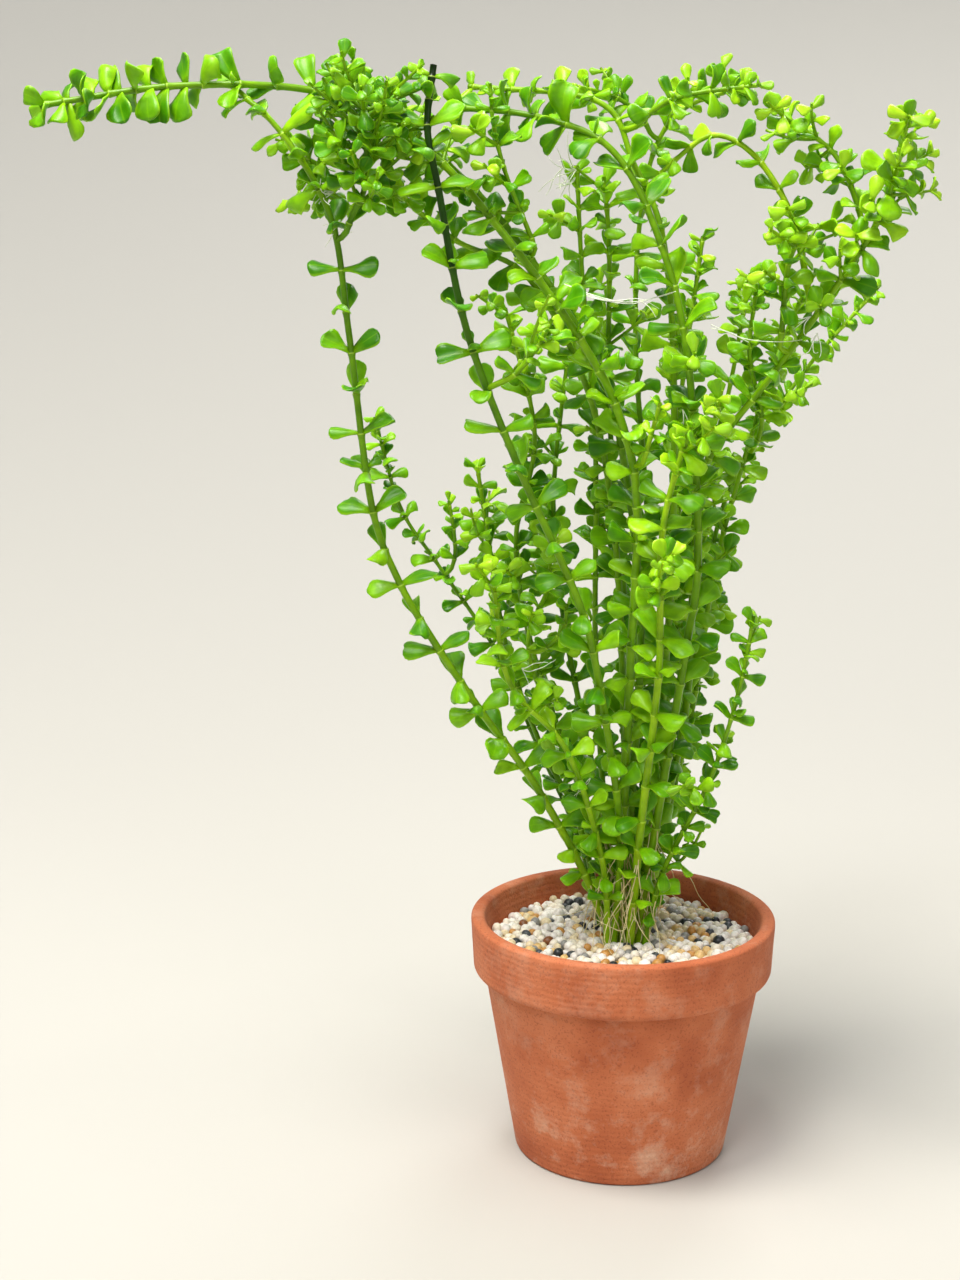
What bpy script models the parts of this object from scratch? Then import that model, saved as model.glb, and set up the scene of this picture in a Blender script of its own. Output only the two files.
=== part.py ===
"""Potted bacopa: a bunch of stems with paired spoon-shaped leaves, rooted in gravel in a clay pot.

Metres, +Z up, origin at the middle of the pot's underside. Driving sizes are millimetres times MM.
Each stem is swept ring by ring along a smooth route, and its leaves are extruded from the ring faces
at its joints, two by two and a quarter turn on from the pair below.
"""
import math
import random

import bmesh
import bpy
import numpy as np
from mathutils import Matrix, Vector
from mathutils.bvhtree import BVHTree

MM = 0.001
GAP = 0.3 * MM

POT_HEIGHT = 80 * MM
POT_FOOT_RADIUS = 35 * MM
POT_BODY_RADIUS = 45.5 * MM
POT_COLLAR_RADIUS = 50 * MM
POT_COLLAR_HEIGHT = 18 * MM
POT_WALL = 4.5 * MM
POT_FLOOR = 6 * MM
POT_EDGE = 1.2 * MM
POT_SIDES = 24

GRAVEL_LEVEL = 72 * MM
GRAVEL_LUMP = 1.1 * MM
BUNCH_RADIUS = 13 * MM

ROUTE_STEP = 2 * MM
STEM_GAP = 0.75 * MM
NEIGHBOUR = 9 * MM
SQUARE_GROWTH = 1.12
CHORD_MISS = 0.7 * MM
JOINT_BAND = 1.5 * MM
YOUNG_JOINTS = 5
LEAF_WIDTH = 0.6
LEAF_THICKNESS = 0.95 * MM
LEAF_WIDEST = 0.7
LEAF_SPACE = 0.45 * MM
LIGHT_WAY = Vector((0.15, -0.9, 0.42))
LIGHT_DROOP = 24
LIGHT_LIFT = 14

# One row a stem: thickness at the foot and at the tip, distance between leaf pairs, leaf length,
# quarter turns of the first pair, height of the first pair, how many pairs share one solid pair,
# and the route, in millimetres from the middle of the gravel.
STEMS = {
    "stem_far_left": (2.7, 1.7, 12.2, 10.5, 0.0, 40, 1, [
        (-4, -1, 0), (-15, -4, 27), (-31, -10, 57), (-46, -15, 79), (-61, -20, 103), (-72, -22, 123),
        (-80, -24, 147), (-86, -27, 199), (-91, -28, 233), (-106, -27, 258), (-123, -20, 272)]),
    "stem_floating_left": (3.2, 1.9, 11.0, 10.0, 0.4, 48, 3, [
        (-1, -3, 0), (-1, -8, 38), (0, -18, 97), (1, -22, 144), (-4, -24, 171), (-16, -25, 195),
        (-42, -26, 230), (-63, -20, 252), (-92, -18, 268), (-134, -24, 270), (-176, -28, 264)]),
    "stem_left_high": (2.8, 1.8, 13.0, 10.0, 0.2, 60, 4, [
        (2, 4, 0), (2, 2, 34), (4, -4, 106), (-3, -10, 161), (-13, -13, 192), (-41, -14, 232),
        (-66, -9, 256), (-82, -10, 267), (-90, -14, 277)]),
    "stem_dark": (2.6, 2.0, 12.5, 10.5, 0.0, 55, 3, [
        (-3, -5, 0), (-2, -12, 39), (-10, -26, 90), (-17, -32, 118), (-36, -38, 161), (-51, -42, 201),
        (-59, -41, 241), (-62, -40, 258), (-60, -36, 277)]),
    "stem_right_bright": (3.0, 1.8, 12.5, 11.0, 0.5, 40, 4, [
        (5, -4, 0), (9, -8, 35), (17, -16, 98), (20, -20, 131), (15, -25, 192), (5, -22, 229),
        (-9, -17, 253), (-31, -10, 262), (-58, -4, 265)]),
    "stem_upright_right": (2.6, 1.7, 12.0, 9.5, 0.0, 50, 4, [
        (5, 3, 0), (8, 3, 31), (13, -3, 106), (13, -6, 179), (9, -5, 225), (0, 0, 248), (-11, 6, 267),
        (-51, 16, 272)]),
    "stem_centre_thin": (2.2, 1.4, 10.5, 8.5, 0.4, 55, 3, [
        (-1, 7, 0), (-5, 10, 32), (-9, 16, 91), (-10, 14, 160), (-15, 12, 216), (-17, 12, 250)]),
    "stem_centre_rear": (2.4, 1.5, 11.0, 9.0, 0.0, 50, 4, [
        (2, 9, 0), (4, 16, 30), (2, 24, 95), (-5, 22, 168), (-6, 20, 221), (-8, 22, 246)]),
    "stem_left_rising": (2.5, 1.6, 12.0, 9.5, 0.5, 60, 4, [
        (1, 1, 0), (1, 9, 33), (0, 8, 71), (-4, 2, 132), (-13, -3, 178), (-32, -8, 214), (-55, -12, 226),
        (-76, -15, 243)]),
    "stem_far_right": (2.8, 1.8, 11.5, 10.0, 0.0, 45, 2, [
        (7, 0, 0), (12, 8, 30), (21, 14, 75), (22, 10, 125), (24, 6, 154), (45, -2, 186), (59, -9, 208),
        (73, -17, 234), (79, -20, 262)]),
    "stem_right_slim": (2.2, 1.4, 11.0, 9.0, 0.5, 35, 3, [
        (6, 6, 0), (12, 14, 22), (24, 26, 69), (31, 28, 118), (40, 24, 158), (48, 20, 188), (56, 20, 208)]),
    "stem_right_front": (1.9, 1.2, 8.5, 7.5, 0.0, 18, 2, [
        (7, -7, 0), (12, -12, 26), (25, -22, 59), (33, -26, 89), (37, -26, 113)]),
    "stem_left_front": (2.2, 1.4, 10.0, 8.5, 0.0, 32, 2, [
        (-5, -7, 0), (-8, -14, 31), (-20, -26, 70), (-38, -31, 93), (-43, -34, 124)]),
    "stem_left_bowed": (2.0, 1.3, 9.5, 8.0, 0.5, 30, 3, [
        (-3, 4, 0), (-8, 2, 34), (-25, -10, 78), (-32, -15, 102), (-26, -14, 119), (-25, -12, 132)]),
    "stem_rear_left": (1.9, 1.2, 9.0, 7.5, 0.0, 70, 2, [
        (-6, 9, 0), (-14, 30, 26), (-28, 50, 54), (-41, 62, 82), (-62, 71, 112), (-75, 73, 132),
        (-84, 74, 164)]),
    "stem_rear_right": (2.2, 1.3, 9.5, 8.0, 0.5, 65, 3, [
        (6, 10, 0), (16, 34, 30), (25, 52, 60), (31, 62, 98), (40, 68, 139), (64, 74, 177),
        (91, 78, 208)]),
    "stem_front_bright": (3.0, 1.7, 12.5, 10.5, 0.5, 45, 2, [
        (2, -7, 0), (4, -16, 40), (8, -27, 95), (8, -31, 140), (16, -34, 174)]),
    "stem_rear_lean_left": (2.2, 1.4, 10.5, 9.0, 0.0, 55, 2, [
        (-5, 7, 0), (-14, 28, 32), (-26, 40, 54), (-38, 45, 88), (-45, 46, 131), (-48, 46, 150)]),
    "stem_rear_wavy": (2.3, 1.4, 11.0, 9.0, 0.5, 60, 3, [
        (-3, 10, 0), (-12, 26, 38), (-29, 34, 88), (-35, 32, 127), (-29, 30, 162), (-39, 32, 204)]),
    "stem_rear_centre": (2.3, 1.4, 11.0, 9.0, 0.0, 55, 4, [
        (0, 12, 0), (-6, 34, 36), (-18, 47, 95), (-22, 50, 140), (-14, 52, 214)]),
    "stem_rear_slant": (2.3, 1.4, 11.0, 9.0, 0.5, 60, 4, [
        (5, 8, 0), (13, 40, 34), (28, 55, 90), (29, 54, 141), (37, 54, 173), (44, 58, 214)]),
    "stem_rear_tall": (2.5, 1.5, 11.5, 9.5, 0.0, 60, 4, [
        (2, 13, 0), (6, 44, 33), (12, 62, 110), (6, 62, 190), (8, 62, 240), (18, 59, 265), (42, 56, 275)]),
    "stem_rear_right_upright": (2.3, 1.4, 11.0, 9.0, 0.3, 50, 4, [
        (4, 11, 0), (10, 26, 33), (20, 38, 100), (19, 38, 165), (26, 42, 226)]),
}

# Side shoots: the stem each one grows from, and the same values again.
SHOOTS = {
    "shoot_arch": ("stem_far_right", (2.2, 1.4, 10.0, 8.5, 0.5, 0, 2, [
        (56, -7, 201), (54, -4, 212), (48, 0, 234), (37, 4, 251), (25, 8, 257), (14, 11, 250), (3, 14, 239)])),
    "shoot_clump": ("stem_far_left", (1.9, 1.3, 6.5, 8.5, 0.5, 0, 2, [
        (-89, -28, 222), (-85, -31, 232), (-80, -34, 243), (-80, -35, 264)])),
    "shoot_inner_right": ("stem_far_right", (2.0, 1.3, 9.5, 8.5, 0.0, 0, 2, [
        (45, -2, 185), (46, -6, 197), (46, -12, 217), (51, -16, 232)])),
    "shoot_dark_side": ("stem_dark", (1.9, 1.3, 8.5, 8.0, 0.0, 0, 1, [
        (-45, -41, 184), (-37, -42, 188), (-31, -42, 195), (-26, -42, 204)])),
    "shoot_thin_high": ("stem_left_high", (1.6, 1.1, 8.0, 6.5, 0.0, 0, 2, [
        (-28, -15, 215), (-32, -18, 227), (-39, -20, 244), (-43, -19, 259), (-44, -18, 271)])),
    "shoot_right_crown": ("stem_far_right", (1.9, 1.2, 8.5, 8.5, 0.5, 0, 2, [
        (67, -14, 225), (66, -11, 236), (60, -6, 251), (47, -2, 261)])),
    "shoot_right_inner": ("stem_right_slim", (1.8, 1.2, 9.0, 8.0, 0.5, 0, 2, [
        (37, 24, 152), (43, 14, 168), (38, 9, 190), (40, 10, 212)])),
    "shoot_rear_left": ("stem_rear_left", (1.6, 1.1, 8.0, 6.5, 0.5, 0, 2, [
        (-57, 70, 107), (-55, 66, 118), (-58, 64, 136)])),
    "shoot_pale": ("stem_floating_left", (1.7, 1.1, 8.0, 6.0, 0.5, 0, 1, [
        (0, -25, 152), (3, -29, 164), (7, -31, 180)])),
    "shoot_rosette": ("stem_right_bright", (1.8, 1.3, 6.0, 7.0, 0.0, 0, 2, [
        (18, -25, 162), (23, -27, 171), (25, -29, 182)])),
    "shoot_hooked": ("stem_left_bowed", (1.6, 1.1, 7.5, 6.5, 0.0, 0, 2, [
        (-31, -15, 98), (-26, -20, 102), (-21, -21, 108), (-20, -20, 117)])),
    "shoot_surface_right": ("stem_upright_right", (1.9, 1.2, 8.5, 8.5, 0.5, 0, 2, [
        (-3, 1, 254), (3, -1, 262), (14, -5, 268), (37, -12, 271)])),
    "shoot_surface_rear": ("stem_rear_tall", (1.8, 1.2, 8.5, 8.0, 0.5, 0, 2, [
        (13, 60, 255), (6, 55, 265), (-4, 52, 271), (-18, 46, 274)])),
    "shoot_drooping": ("stem_floating_left", (1.8, 1.2, 7.5, 9.0, 0.0, 0, 2, [
        (-86, -18, 266), (-94, -15, 259), (-99, -12, 247), (-96, -10, 236)])),
}


def material(name, colour, roughness):
    """A plain opaque finish."""
    made = bpy.data.materials.new(name)
    made.use_nodes = True
    shader = made.node_tree.nodes["Principled BSDF"]
    shader.inputs["Base Color"].default_value = (*colour, 1.0)
    shader.inputs["Roughness"].default_value = roughness
    shader.inputs["Metallic"].default_value = 0.0
    return made


def add_object(name, mesh, finish):
    """Puts a finished mesh in the plant's collection."""
    mesh.materials.append(finish)
    made = bpy.data.objects.new(name, mesh)
    bpy.data.collections["potted_bacopa"].objects.link(made)
    return made


def add_turned(name, profile, finish):
    """A body turned round the pot's axis; the profile runs from the axis over the top and down outside."""
    mesh = bpy.data.meshes.new(name)
    edges = [(i, i + 1) for i in range(len(profile) - 1)]
    mesh.from_pydata([(x, 0.0, z) for x, z in profile], edges, [])
    made = add_object(name, mesh, finish)
    screw = made.modifiers.new("Turn", "SCREW")
    screw.axis = "Z"
    screw.steps = POT_SIDES
    screw.render_steps = POT_SIDES
    screw.use_merge_vertices = True
    screw.merge_threshold = 0.00005
    return made


def make_pot():
    """A clay pot with a straight taper, a thicker collar and softened edges."""
    collar_foot = POT_HEIGHT - POT_COLLAR_HEIGHT
    inner_top = POT_COLLAR_RADIUS - POT_WALL
    inner_foot = POT_FOOT_RADIUS - POT_WALL
    profile = [
        (0.0, POT_FLOOR),
        (inner_foot, POT_FLOOR),
        (inner_top, POT_HEIGHT - POT_EDGE),
        (inner_top + POT_EDGE, POT_HEIGHT),
        (POT_COLLAR_RADIUS - POT_EDGE, POT_HEIGHT),
        (POT_COLLAR_RADIUS, POT_HEIGHT - POT_EDGE),
        (POT_COLLAR_RADIUS - 1.0 * MM, collar_foot + POT_EDGE),
        (POT_COLLAR_RADIUS - 2.0 * MM, collar_foot),
        (POT_BODY_RADIUS, collar_foot - 0.5 * MM),
        (POT_FOOT_RADIUS, POT_EDGE),
        (POT_FOOT_RADIUS - POT_EDGE, 0.0),
        (0.0, 0.0),
    ]
    return add_turned("pot", profile, material("terracotta", (0.48, 0.17, 0.08), 0.85))


def pot_inner_radius(height):
    """The pot's inside radius at a height."""
    inner_foot = POT_FOOT_RADIUS - POT_WALL
    inner_top = POT_COLLAR_RADIUS - POT_WALL
    share = (height - POT_FLOOR) / (POT_HEIGHT - POT_EDGE - POT_FLOOR)
    return inner_foot + (inner_top - inner_foot) * share


def make_gravel():
    """The gravel filling: flat under the bunch of stems and lumpy out to the wall."""
    bed = bmesh.new()
    floor = POT_FLOOR + GAP
    wall_gap = GAP * 1.2
    edge_radius = pot_inner_radius(GRAVEL_LEVEL) - wall_gap
    rings = 4
    top_radii = [BUNCH_RADIUS + (edge_radius - BUNCH_RADIUS) * i / rings for i in range(rings + 1)]
    profile = [(0.0, GRAVEL_LEVEL)] + [(r, GRAVEL_LEVEL) for r in top_radii]
    profile += [(pot_inner_radius(floor) - wall_gap, floor), (0.0, floor)]
    points = [bed.verts.new((x, 0.0, z)) for x, z in profile]
    edges = [bed.edges.new(pair) for pair in zip(points, points[1:])]
    bmesh.ops.spin(bed, geom=points + edges, cent=(0, 0, 0), axis=(0, 0, 1), angle=2 * math.pi,
                   steps=POT_SIDES, use_merge=True)
    bmesh.ops.remove_doubles(bed, verts=bed.verts, dist=0.01 * MM)
    bmesh.ops.recalc_face_normals(bed, faces=bed.faces)
    lumps = random.Random(11)
    for vert in bed.verts:
        radius = math.hypot(vert.co.x, vert.co.y)
        on_top = vert.co.z > GRAVEL_LEVEL - MM
        if on_top and BUNCH_RADIUS + MM < radius < edge_radius - MM:
            vert.co.z += lumps.uniform(-1.0, 1.0) * GRAVEL_LUMP
    mesh = bpy.data.meshes.new("gravel")
    bed.to_mesh(mesh)
    bed.free()
    return add_object("gravel", mesh, material("quartz gravel", (0.62, 0.55, 0.44), 0.7))


def smooth_route(points):
    """A Catmull-Rom curve through hand-set points, read off at even steps, in metres above the gravel."""
    known = [Vector(p) * MM + Vector((0, 0, GRAVEL_LEVEL + GAP)) for p in points]
    known = [known[0] * 2 - known[1]] + known + [known[-1] * 2 - known[-2]]
    fine = []
    for a, b, c, d in zip(known, known[1:], known[2:], known[3:]):
        for i in range(20):
            t = i / 20
            fine.append(0.5 * (b * 2 + (c - a) * t + (a * 2 - b * 5 + c * 4 - d) * t * t
                               + (b * 3 - a - c * 3 + d) * t * t * t))
    fine.append(known[-2])
    fine = np.array([tuple(p) for p in fine])
    along = np.concatenate(([0.0], np.cumsum(np.linalg.norm(np.diff(fine, axis=0), axis=1))))
    count = max(4, round(along[-1] / ROUTE_STEP) + 1)
    even = np.linspace(0.0, along[-1], count)
    return np.column_stack([np.interp(even, along, fine[:, i]) for i in range(3)])


def stem_radius(values, count):
    """Half the stem's thickness at each point of its route, widest at the foot."""
    foot, tip = values[0], values[1]
    return np.linspace(foot, tip, count) * 0.5 * MM


def strongest(old, new):
    """Row by row, the longer of two moves."""
    keep = np.linalg.norm(old, axis=1) > np.linalg.norm(new, axis=1)
    return np.where(keep[:, None], old, new)


def part_routes(routes, radii, fixed, rounds):
    """Pushes routes sideways until no two stems are nearer than STEM_GAP; the fixed ones stay."""
    names = list(routes)
    kernel = np.array([1, 2, 3, 2, 1]) / 9
    pairs = [(a, b) for i, a in enumerate(names) for b in names[i + 1:] if not (a in fixed and b in fixed)]
    close = pairs
    for count in range(rounds):
        moves = {name: np.zeros_like(routes[name]) for name in names}
        looked_at = pairs if count % 20 == 0 else close
        close = [] if count % 20 == 0 else close
        for one, other in looked_at:
            a, b = routes[one], routes[other]
            away = a[:, None, :] - b[None, :, :]
            reach = np.sqrt(np.einsum("ijk,ijk->ij", away, away))
            if count % 20 == 0 and reach.min() < NEIGHBOUR:
                close.append((one, other))
            need = (radii[one][:, None] + radii[other][None, :]) * SQUARE_GROWTH + STEM_GAP
            rows, columns = np.nonzero(reach < need)
            if not len(rows):
                continue
            sideways = away[rows, columns]
            sideways[:, 2] = 0.0
            sideways[:, 0] += 1e-6
            sideways /= np.linalg.norm(sideways, axis=1)[:, None]
            push = sideways * (need[rows, columns] - reach[rows, columns])[:, None]
            free_a, free_b = one not in fixed, other not in fixed
            share = 0.5 if free_a and free_b else 1.0
            if free_a:
                moves[one][rows] = strongest(moves[one][rows], share * push)
            if free_b:
                moves[other][columns] = strongest(moves[other][columns], -share * push)
        for name in names:
            if name not in fixed:
                move = moves[name]
                padded = np.pad(move, ((2, 2), (0, 0)), mode="edge")
                soft = np.column_stack([np.convolve(padded[:, i], kernel, "valid") for i in range(3)])
                routes[name] = routes[name] + 0.9 * soft


def fork_route(points, parent, parent_radius, own_radius):
    """A side shoot's route, moved to start at its parent's side with the gap of a separate piece."""
    route = smooth_route(points)
    nearest = parent[np.linalg.norm(parent - route[0], axis=1).argmin()]
    shift = nearest - route[0]
    fade = np.clip(1.0 - np.arange(len(route)) / 12, 0.0, 1.0)[:, None]
    route = route + shift * fade
    apart = np.linalg.norm(route[:, None, :] - parent[None, :, :], axis=2).min(axis=1)
    start = int((apart > (parent_radius + own_radius) * SQUARE_GROWTH + STEM_GAP).argmax())
    return route[start:]


def all_routes():
    """Every stem's and shoot's route and radii, clear of each other."""
    routes, radii = {}, {}
    for name, values in STEMS.items():
        routes[name] = smooth_route(values[-1])
        radii[name] = stem_radius(values, len(routes[name]))
    part_routes(routes, radii, set(), 90)
    stems = set(routes)
    for name, (parent, values) in SHOOTS.items():
        size = values[0] * 0.5 * MM
        routes[name] = fork_route(values[-1], routes[parent], radii[parent].max(), size)
        radii[name] = stem_radius(values, len(routes[name]))
    part_routes(routes, radii, stems, 60)
    return routes, radii


def frames_along(route, quarter_turns):
    """A tangent and a side direction at each point, carried along the route without twist."""
    tangents = np.gradient(route, axis=0)
    tangents = [Vector(t).normalized() for t in tangents]
    side = Vector((1, 0, 0))
    side = (side - tangents[0] * side.dot(tangents[0])).normalized()
    side = Matrix.Rotation(quarter_turns * math.pi / 2, 3, tangents[0]) @ side
    sides = []
    for tangent in tangents:
        side = (side - tangent * side.dot(tangent)).normalized()
        sides.append(side.copy())
    return tangents, sides


def joint_places(route, values):
    """Distances along the stem of its leaf joints, closer together near the tip."""
    spacing, first_height = values[2] * MM, values[5] * MM
    steps = np.linalg.norm(np.diff(route, axis=0), axis=1)
    along = np.concatenate(([0.0], np.cumsum(steps)))
    length = along[-1]
    start = float(np.interp(GRAVEL_LEVEL + first_height, route[:, 2], along)) if first_height else 0.0
    place = max(start, 0.6 * spacing)
    places = []
    while place < length - 1.2 * MM:
        places.append(place)
        near_tip = min(1.0, (length - place) / (YOUNG_JOINTS * spacing))
        place += spacing * (0.4 + 0.6 * near_tip)
    return places, along


class Leaf:
    """One leaf: where it leaves the stem, which way it points, and its size."""

    def __init__(self, base, direction, faces, length, droop):
        self.base, self.length = base, length
        self.direction = direction
        self.across = direction.cross(faces).normalized()
        self.tip_way = Matrix.Rotation(-droop, 3, self.across) @ direction

    def corners(self, at_tip, width, thickness):
        """Four corners of a cross-section: at the widest place, or near the tip."""
        middle = self.base + self.direction * (self.length * LEAF_WIDEST)
        if at_tip:
            middle += self.tip_way * (self.length * (1 - LEAF_WIDEST))
        up = self.across.cross(self.direction).normalized()
        return [middle + self.across * (width / 2 * sx) + up * (thickness / 2 * sy)
                for sx, sy in ((-1, -1), (1, -1), (1, 1), (-1, 1))]

    def tree(self, whole):
        """The leaf grown by LEAF_SPACE all round, for finding what it would touch."""
        wide = self.length * LEAF_WIDTH + 2 * LEAF_SPACE
        thick = LEAF_THICKNESS + 2 * LEAF_SPACE
        middle = self.corners(False, wide, thick)
        tip = self.corners(True, 1.2 * MM, 2 * LEAF_SPACE)
        rings = [middle, tip]
        if whole:
            start = Leaf(self.base + self.direction * (0.9 * MM), self.direction, self.direction.orthogonal(),
                         0.0, 0.0)
            start.across = self.across
            rings.insert(0, start.corners(False, 1.6 * MM + LEAF_SPACE, 1.4 * MM + LEAF_SPACE))
        points = [p for ring in rings for p in ring]
        faces = [(0, 1, 2, 3), tuple(range(len(points) - 4, len(points)))]
        for ring in range(len(rings) - 1):
            k = 4 * ring
            faces += [(k + i, k + (i + 1) % 4, k + 4 + (i + 1) % 4, k + 4 + i) for i in range(4)]
        return points, BVHTree.FromPolygons(points, faces)


def tube_tree(route, radii):
    """The bare stem as a square tube, for finding what touches it."""
    tangents, sides = frames_along(route, 0.5)
    points, faces = [], []
    for place, radius, tangent, side in zip(route, radii, tangents, sides):
        for quarter in range(4):
            turn = Matrix.Rotation(quarter * math.pi / 2, 3, tangent)
            points.append(Vector(place) + turn @ side * (radius * SQUARE_GROWTH))
    for ring in range(len(route) - 1):
        k = 4 * ring
        faces += [(k + i, k + (i + 1) % 4, k + 4 + (i + 1) % 4, k + 4 + i) for i in range(4)]
    return BVHTree.FromPolygons(points, faces)


def box_of(points):
    """The lowest and highest corner of some points."""
    spots = np.array([tuple(p) for p in points])
    return spots.min(axis=0), spots.max(axis=0)


def touches(own_name, leaf, tubes, placed):
    """Whether a leaf would meet a stem or a leaf that is already there."""
    points, whole = leaf.tree(True)
    outer = leaf.tree(False)[1]
    for name, tube in tubes.items():
        if (outer if name == own_name else whole).overlap(tube):
            return True
    low, high = box_of(points)
    for other_low, other_high, other in placed:
        if (low < other_high).all() and (high > other_low).all() and whole.overlap(other):
            return True
    return False


def grow_leaves(name, route, radii, values, tubes, placed):
    """The joints of one stem: for each, its place, frame and the leaves on its four sides."""
    rng = random.Random(name)
    tangents, sides = frames_along(route, values[4])
    places, along = joint_places(route, values)
    joints = []
    for number, place in enumerate(places):
        index = int(np.interp(place, along, np.arange(len(route))))
        centre = Vector([float(np.interp(place, along, route[:, i])) for i in range(3)])
        tangent, side = tangents[index], sides[index]
        radius = float(np.interp(place, along, radii))
        near_tip = min(1.0, (along[-1] - place) / (22 * MM) + 0.15)
        length = values[3] * MM * (0.5 + 0.5 * near_tip)
        solid = number % values[6] == 0
        leaves = {}
        for half in (0, 2):
            quarter = half + number % 2
            turn = rng.uniform(-14, 14)
            lift = rng.uniform(4, 42) + 28 * (1 - near_tip)
            stretch = rng.uniform(0.86, 1.12)
            droop = rng.uniform(0, 34)
            faces = tangent + LIGHT_WAY * rng.uniform(0.5, 2.2)
            if not solid:
                continue
            toward_light = (Matrix.Rotation(quarter * math.pi / 2, 3, tangent) @ side).dot(LIGHT_WAY)
            droop += LIGHT_DROOP * toward_light
            lift -= LIGHT_LIFT * toward_light
            for more_turn, more_lift, less in ((0, 0, 1), (18, 0, 1), (-18, 0, 1), (0, 22, 1), (0, -24, 1),
                                               (32, 14, 0.9), (-32, 14, 0.9), (0, 45, 0.85), (0, 0, 0.7)):
                way = Matrix.Rotation(quarter * math.pi / 2 + math.radians(turn + more_turn), 3, tangent) @ side
                raised = math.radians(lift + more_lift)
                way = (way * math.cos(raised) + tangent * math.sin(raised)).normalized()
                leaf = Leaf(centre + way * radius * 0.7, way, faces, length * stretch * less,
                            math.radians(droop))
                if not touches(name, leaf, tubes, placed):
                    points, tree = leaf.tree(True)
                    placed.append((*box_of(points), tree))
                    leaves[quarter] = leaf
                    break
        if solid:
            joints.append((place, centre, tangent, side, radius, leaves))
    return joints


def ring_places(centre, tangent, side, radius):
    """Four corners of a square ring whose flat sides face the four leaf directions."""
    start = Matrix.Rotation(math.pi / 4, 3, tangent) @ side
    return [centre + (Matrix.Rotation(i * math.pi / 2, 3, tangent) @ start) * (radius * SQUARE_GROWTH)
            for i in range(4)]


def extrude_leaf(stem, face, leaf):
    """Draws one face of a joint out into a leaf: a narrow foot, a wide blade and a point."""
    out = bmesh.ops.extrude_face_region(stem, geom=[face])
    bmesh.ops.delete(stem, geom=[face], context="FACES_ONLY")
    end = [item for item in out["geom"] if isinstance(item, bmesh.types.BMFace)]
    verts = list(end[0].verts)
    foot = sum((vert.co for vert in verts), Vector()) / 4
    wide = leaf.corners(False, leaf.length * LEAF_WIDTH, LEAF_THICKNESS)
    blade = sum(wide, Vector()) / 4
    orders = [order[i:] + order[:i] for order in (wide, wide[::-1]) for i in range(4)]
    nearest = max(orders, key=lambda order: sum((vert.co - foot).normalized().dot(corner - blade)
                                                for vert, corner in zip(verts, order)))
    for vert, corner in zip(verts, nearest):
        vert.co = corner
    out = bmesh.ops.extrude_face_region(stem, geom=end)
    bmesh.ops.delete(stem, geom=end, context="FACES_ONLY")
    verts = [item for item in out["geom"] if isinstance(item, bmesh.types.BMVert)]
    tip = sum(leaf.corners(True, 0.0, 0.0), Vector()) / 4
    bmesh.ops.pointmerge(stem, verts=verts, merge_co=tip)


def bends_between(route, first, last):
    """The points of a route that a straight run from first to last would miss by too much."""
    if last - first < 4:
        return []
    start, chord = route[first], route[last] - route[first]
    chord = chord / np.linalg.norm(chord)
    offsets = route[first:last + 1] - start
    missed = np.linalg.norm(offsets - np.outer(offsets @ chord, chord), axis=1)
    if missed.max() < CHORD_MISS:
        return []
    middle = first + min(max(int(missed.argmax()), 2), last - first - 2)
    return bends_between(route, first, middle) + [middle] + bends_between(route, middle, last)


def make_stem(name, route, radii, joints, finish):
    """Sweeps the stem from ring to ring and draws out its leaves."""
    stem = bmesh.new()
    tangents, sides = frames_along(route, 0.0)
    first = joints[0][3] if joints else sides[0]
    upright = Vector((0, 0, 1)) if route[0][2] < GRAVEL_LEVEL + MM else tangents[0]
    first = (first - upright * first.dot(upright)).normalized()
    rings = [(Vector(route[0]), upright, first, radii[0], None)]
    last = 0
    for place, centre, tangent, side, radius, leaves in joints:
        index = int(np.linalg.norm(route - np.array(centre), axis=1).argmin())
        for bend in bends_between(route, last, index):
            rings.append((Vector(route[bend]), tangents[bend], side, radii[bend], None))
        last = index
        half = tangent * (JOINT_BAND / 2)
        rings.append((centre - half, tangent, side, radius, None))
        rings.append((centre + half, tangent, side, radius * 1.04, leaves))
    end = Vector(route[-1])
    if (end - rings[-1][0]).length > MM:
        for bend in bends_between(route, last, len(route) - 1):
            rings.append((Vector(route[bend]), tangents[bend], rings[-1][2], radii[bend], None))
        rings.append((end, tangents[-1], rings[-1][2], radii[-1] * 0.7, None))
    bmesh.ops.create_circle(stem, cap_ends=True, radius=MM, segments=4)
    stem.verts.ensure_lookup_table()
    loop = list(stem.verts)
    for vert, spot in zip(loop, ring_places(*rings[0][:4])):
        vert.co = spot
    faces_of = []
    for centre, tangent, side, radius, leaves in rings[1:]:
        edges = [stem.edges.get((loop[i], loop[(i + 1) % 4])) for i in range(4)]
        out = bmesh.ops.extrude_edge_only(stem, edges=edges)
        fresh = [item for item in out["geom"] if isinstance(item, bmesh.types.BMVert)]
        pairs = {}
        for vert in loop:
            for edge in vert.link_edges:
                other = edge.other_vert(vert)
                if other in fresh:
                    pairs[vert] = other
        new_loop = [pairs[vert] for vert in loop]
        for vert, spot in zip(new_loop, ring_places(centre, tangent, side, radius)):
            vert.co = spot
        if leaves:
            sides_now = []
            for i in range(4):
                corner = {loop[i], loop[(i + 1) % 4], new_loop[i], new_loop[(i + 1) % 4]}
                face = next(f for f in new_loop[i].link_faces if set(f.verts) == corner)
                sides_now.append(face)
            for quarter, leaf in leaves.items():
                faces_of.append((sides_now[(quarter - 1) % 4], leaf))
        loop = new_loop
    stem.faces.new(loop)
    bmesh.ops.recalc_face_normals(stem, faces=stem.faces)
    for face, leaf in faces_of:
        extrude_leaf(stem, face, leaf)
    bmesh.ops.recalc_face_normals(stem, faces=stem.faces)
    mesh = bpy.data.meshes.new(name)
    stem.to_mesh(mesh)
    stem.free()
    return add_object(name, mesh, finish)


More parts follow.
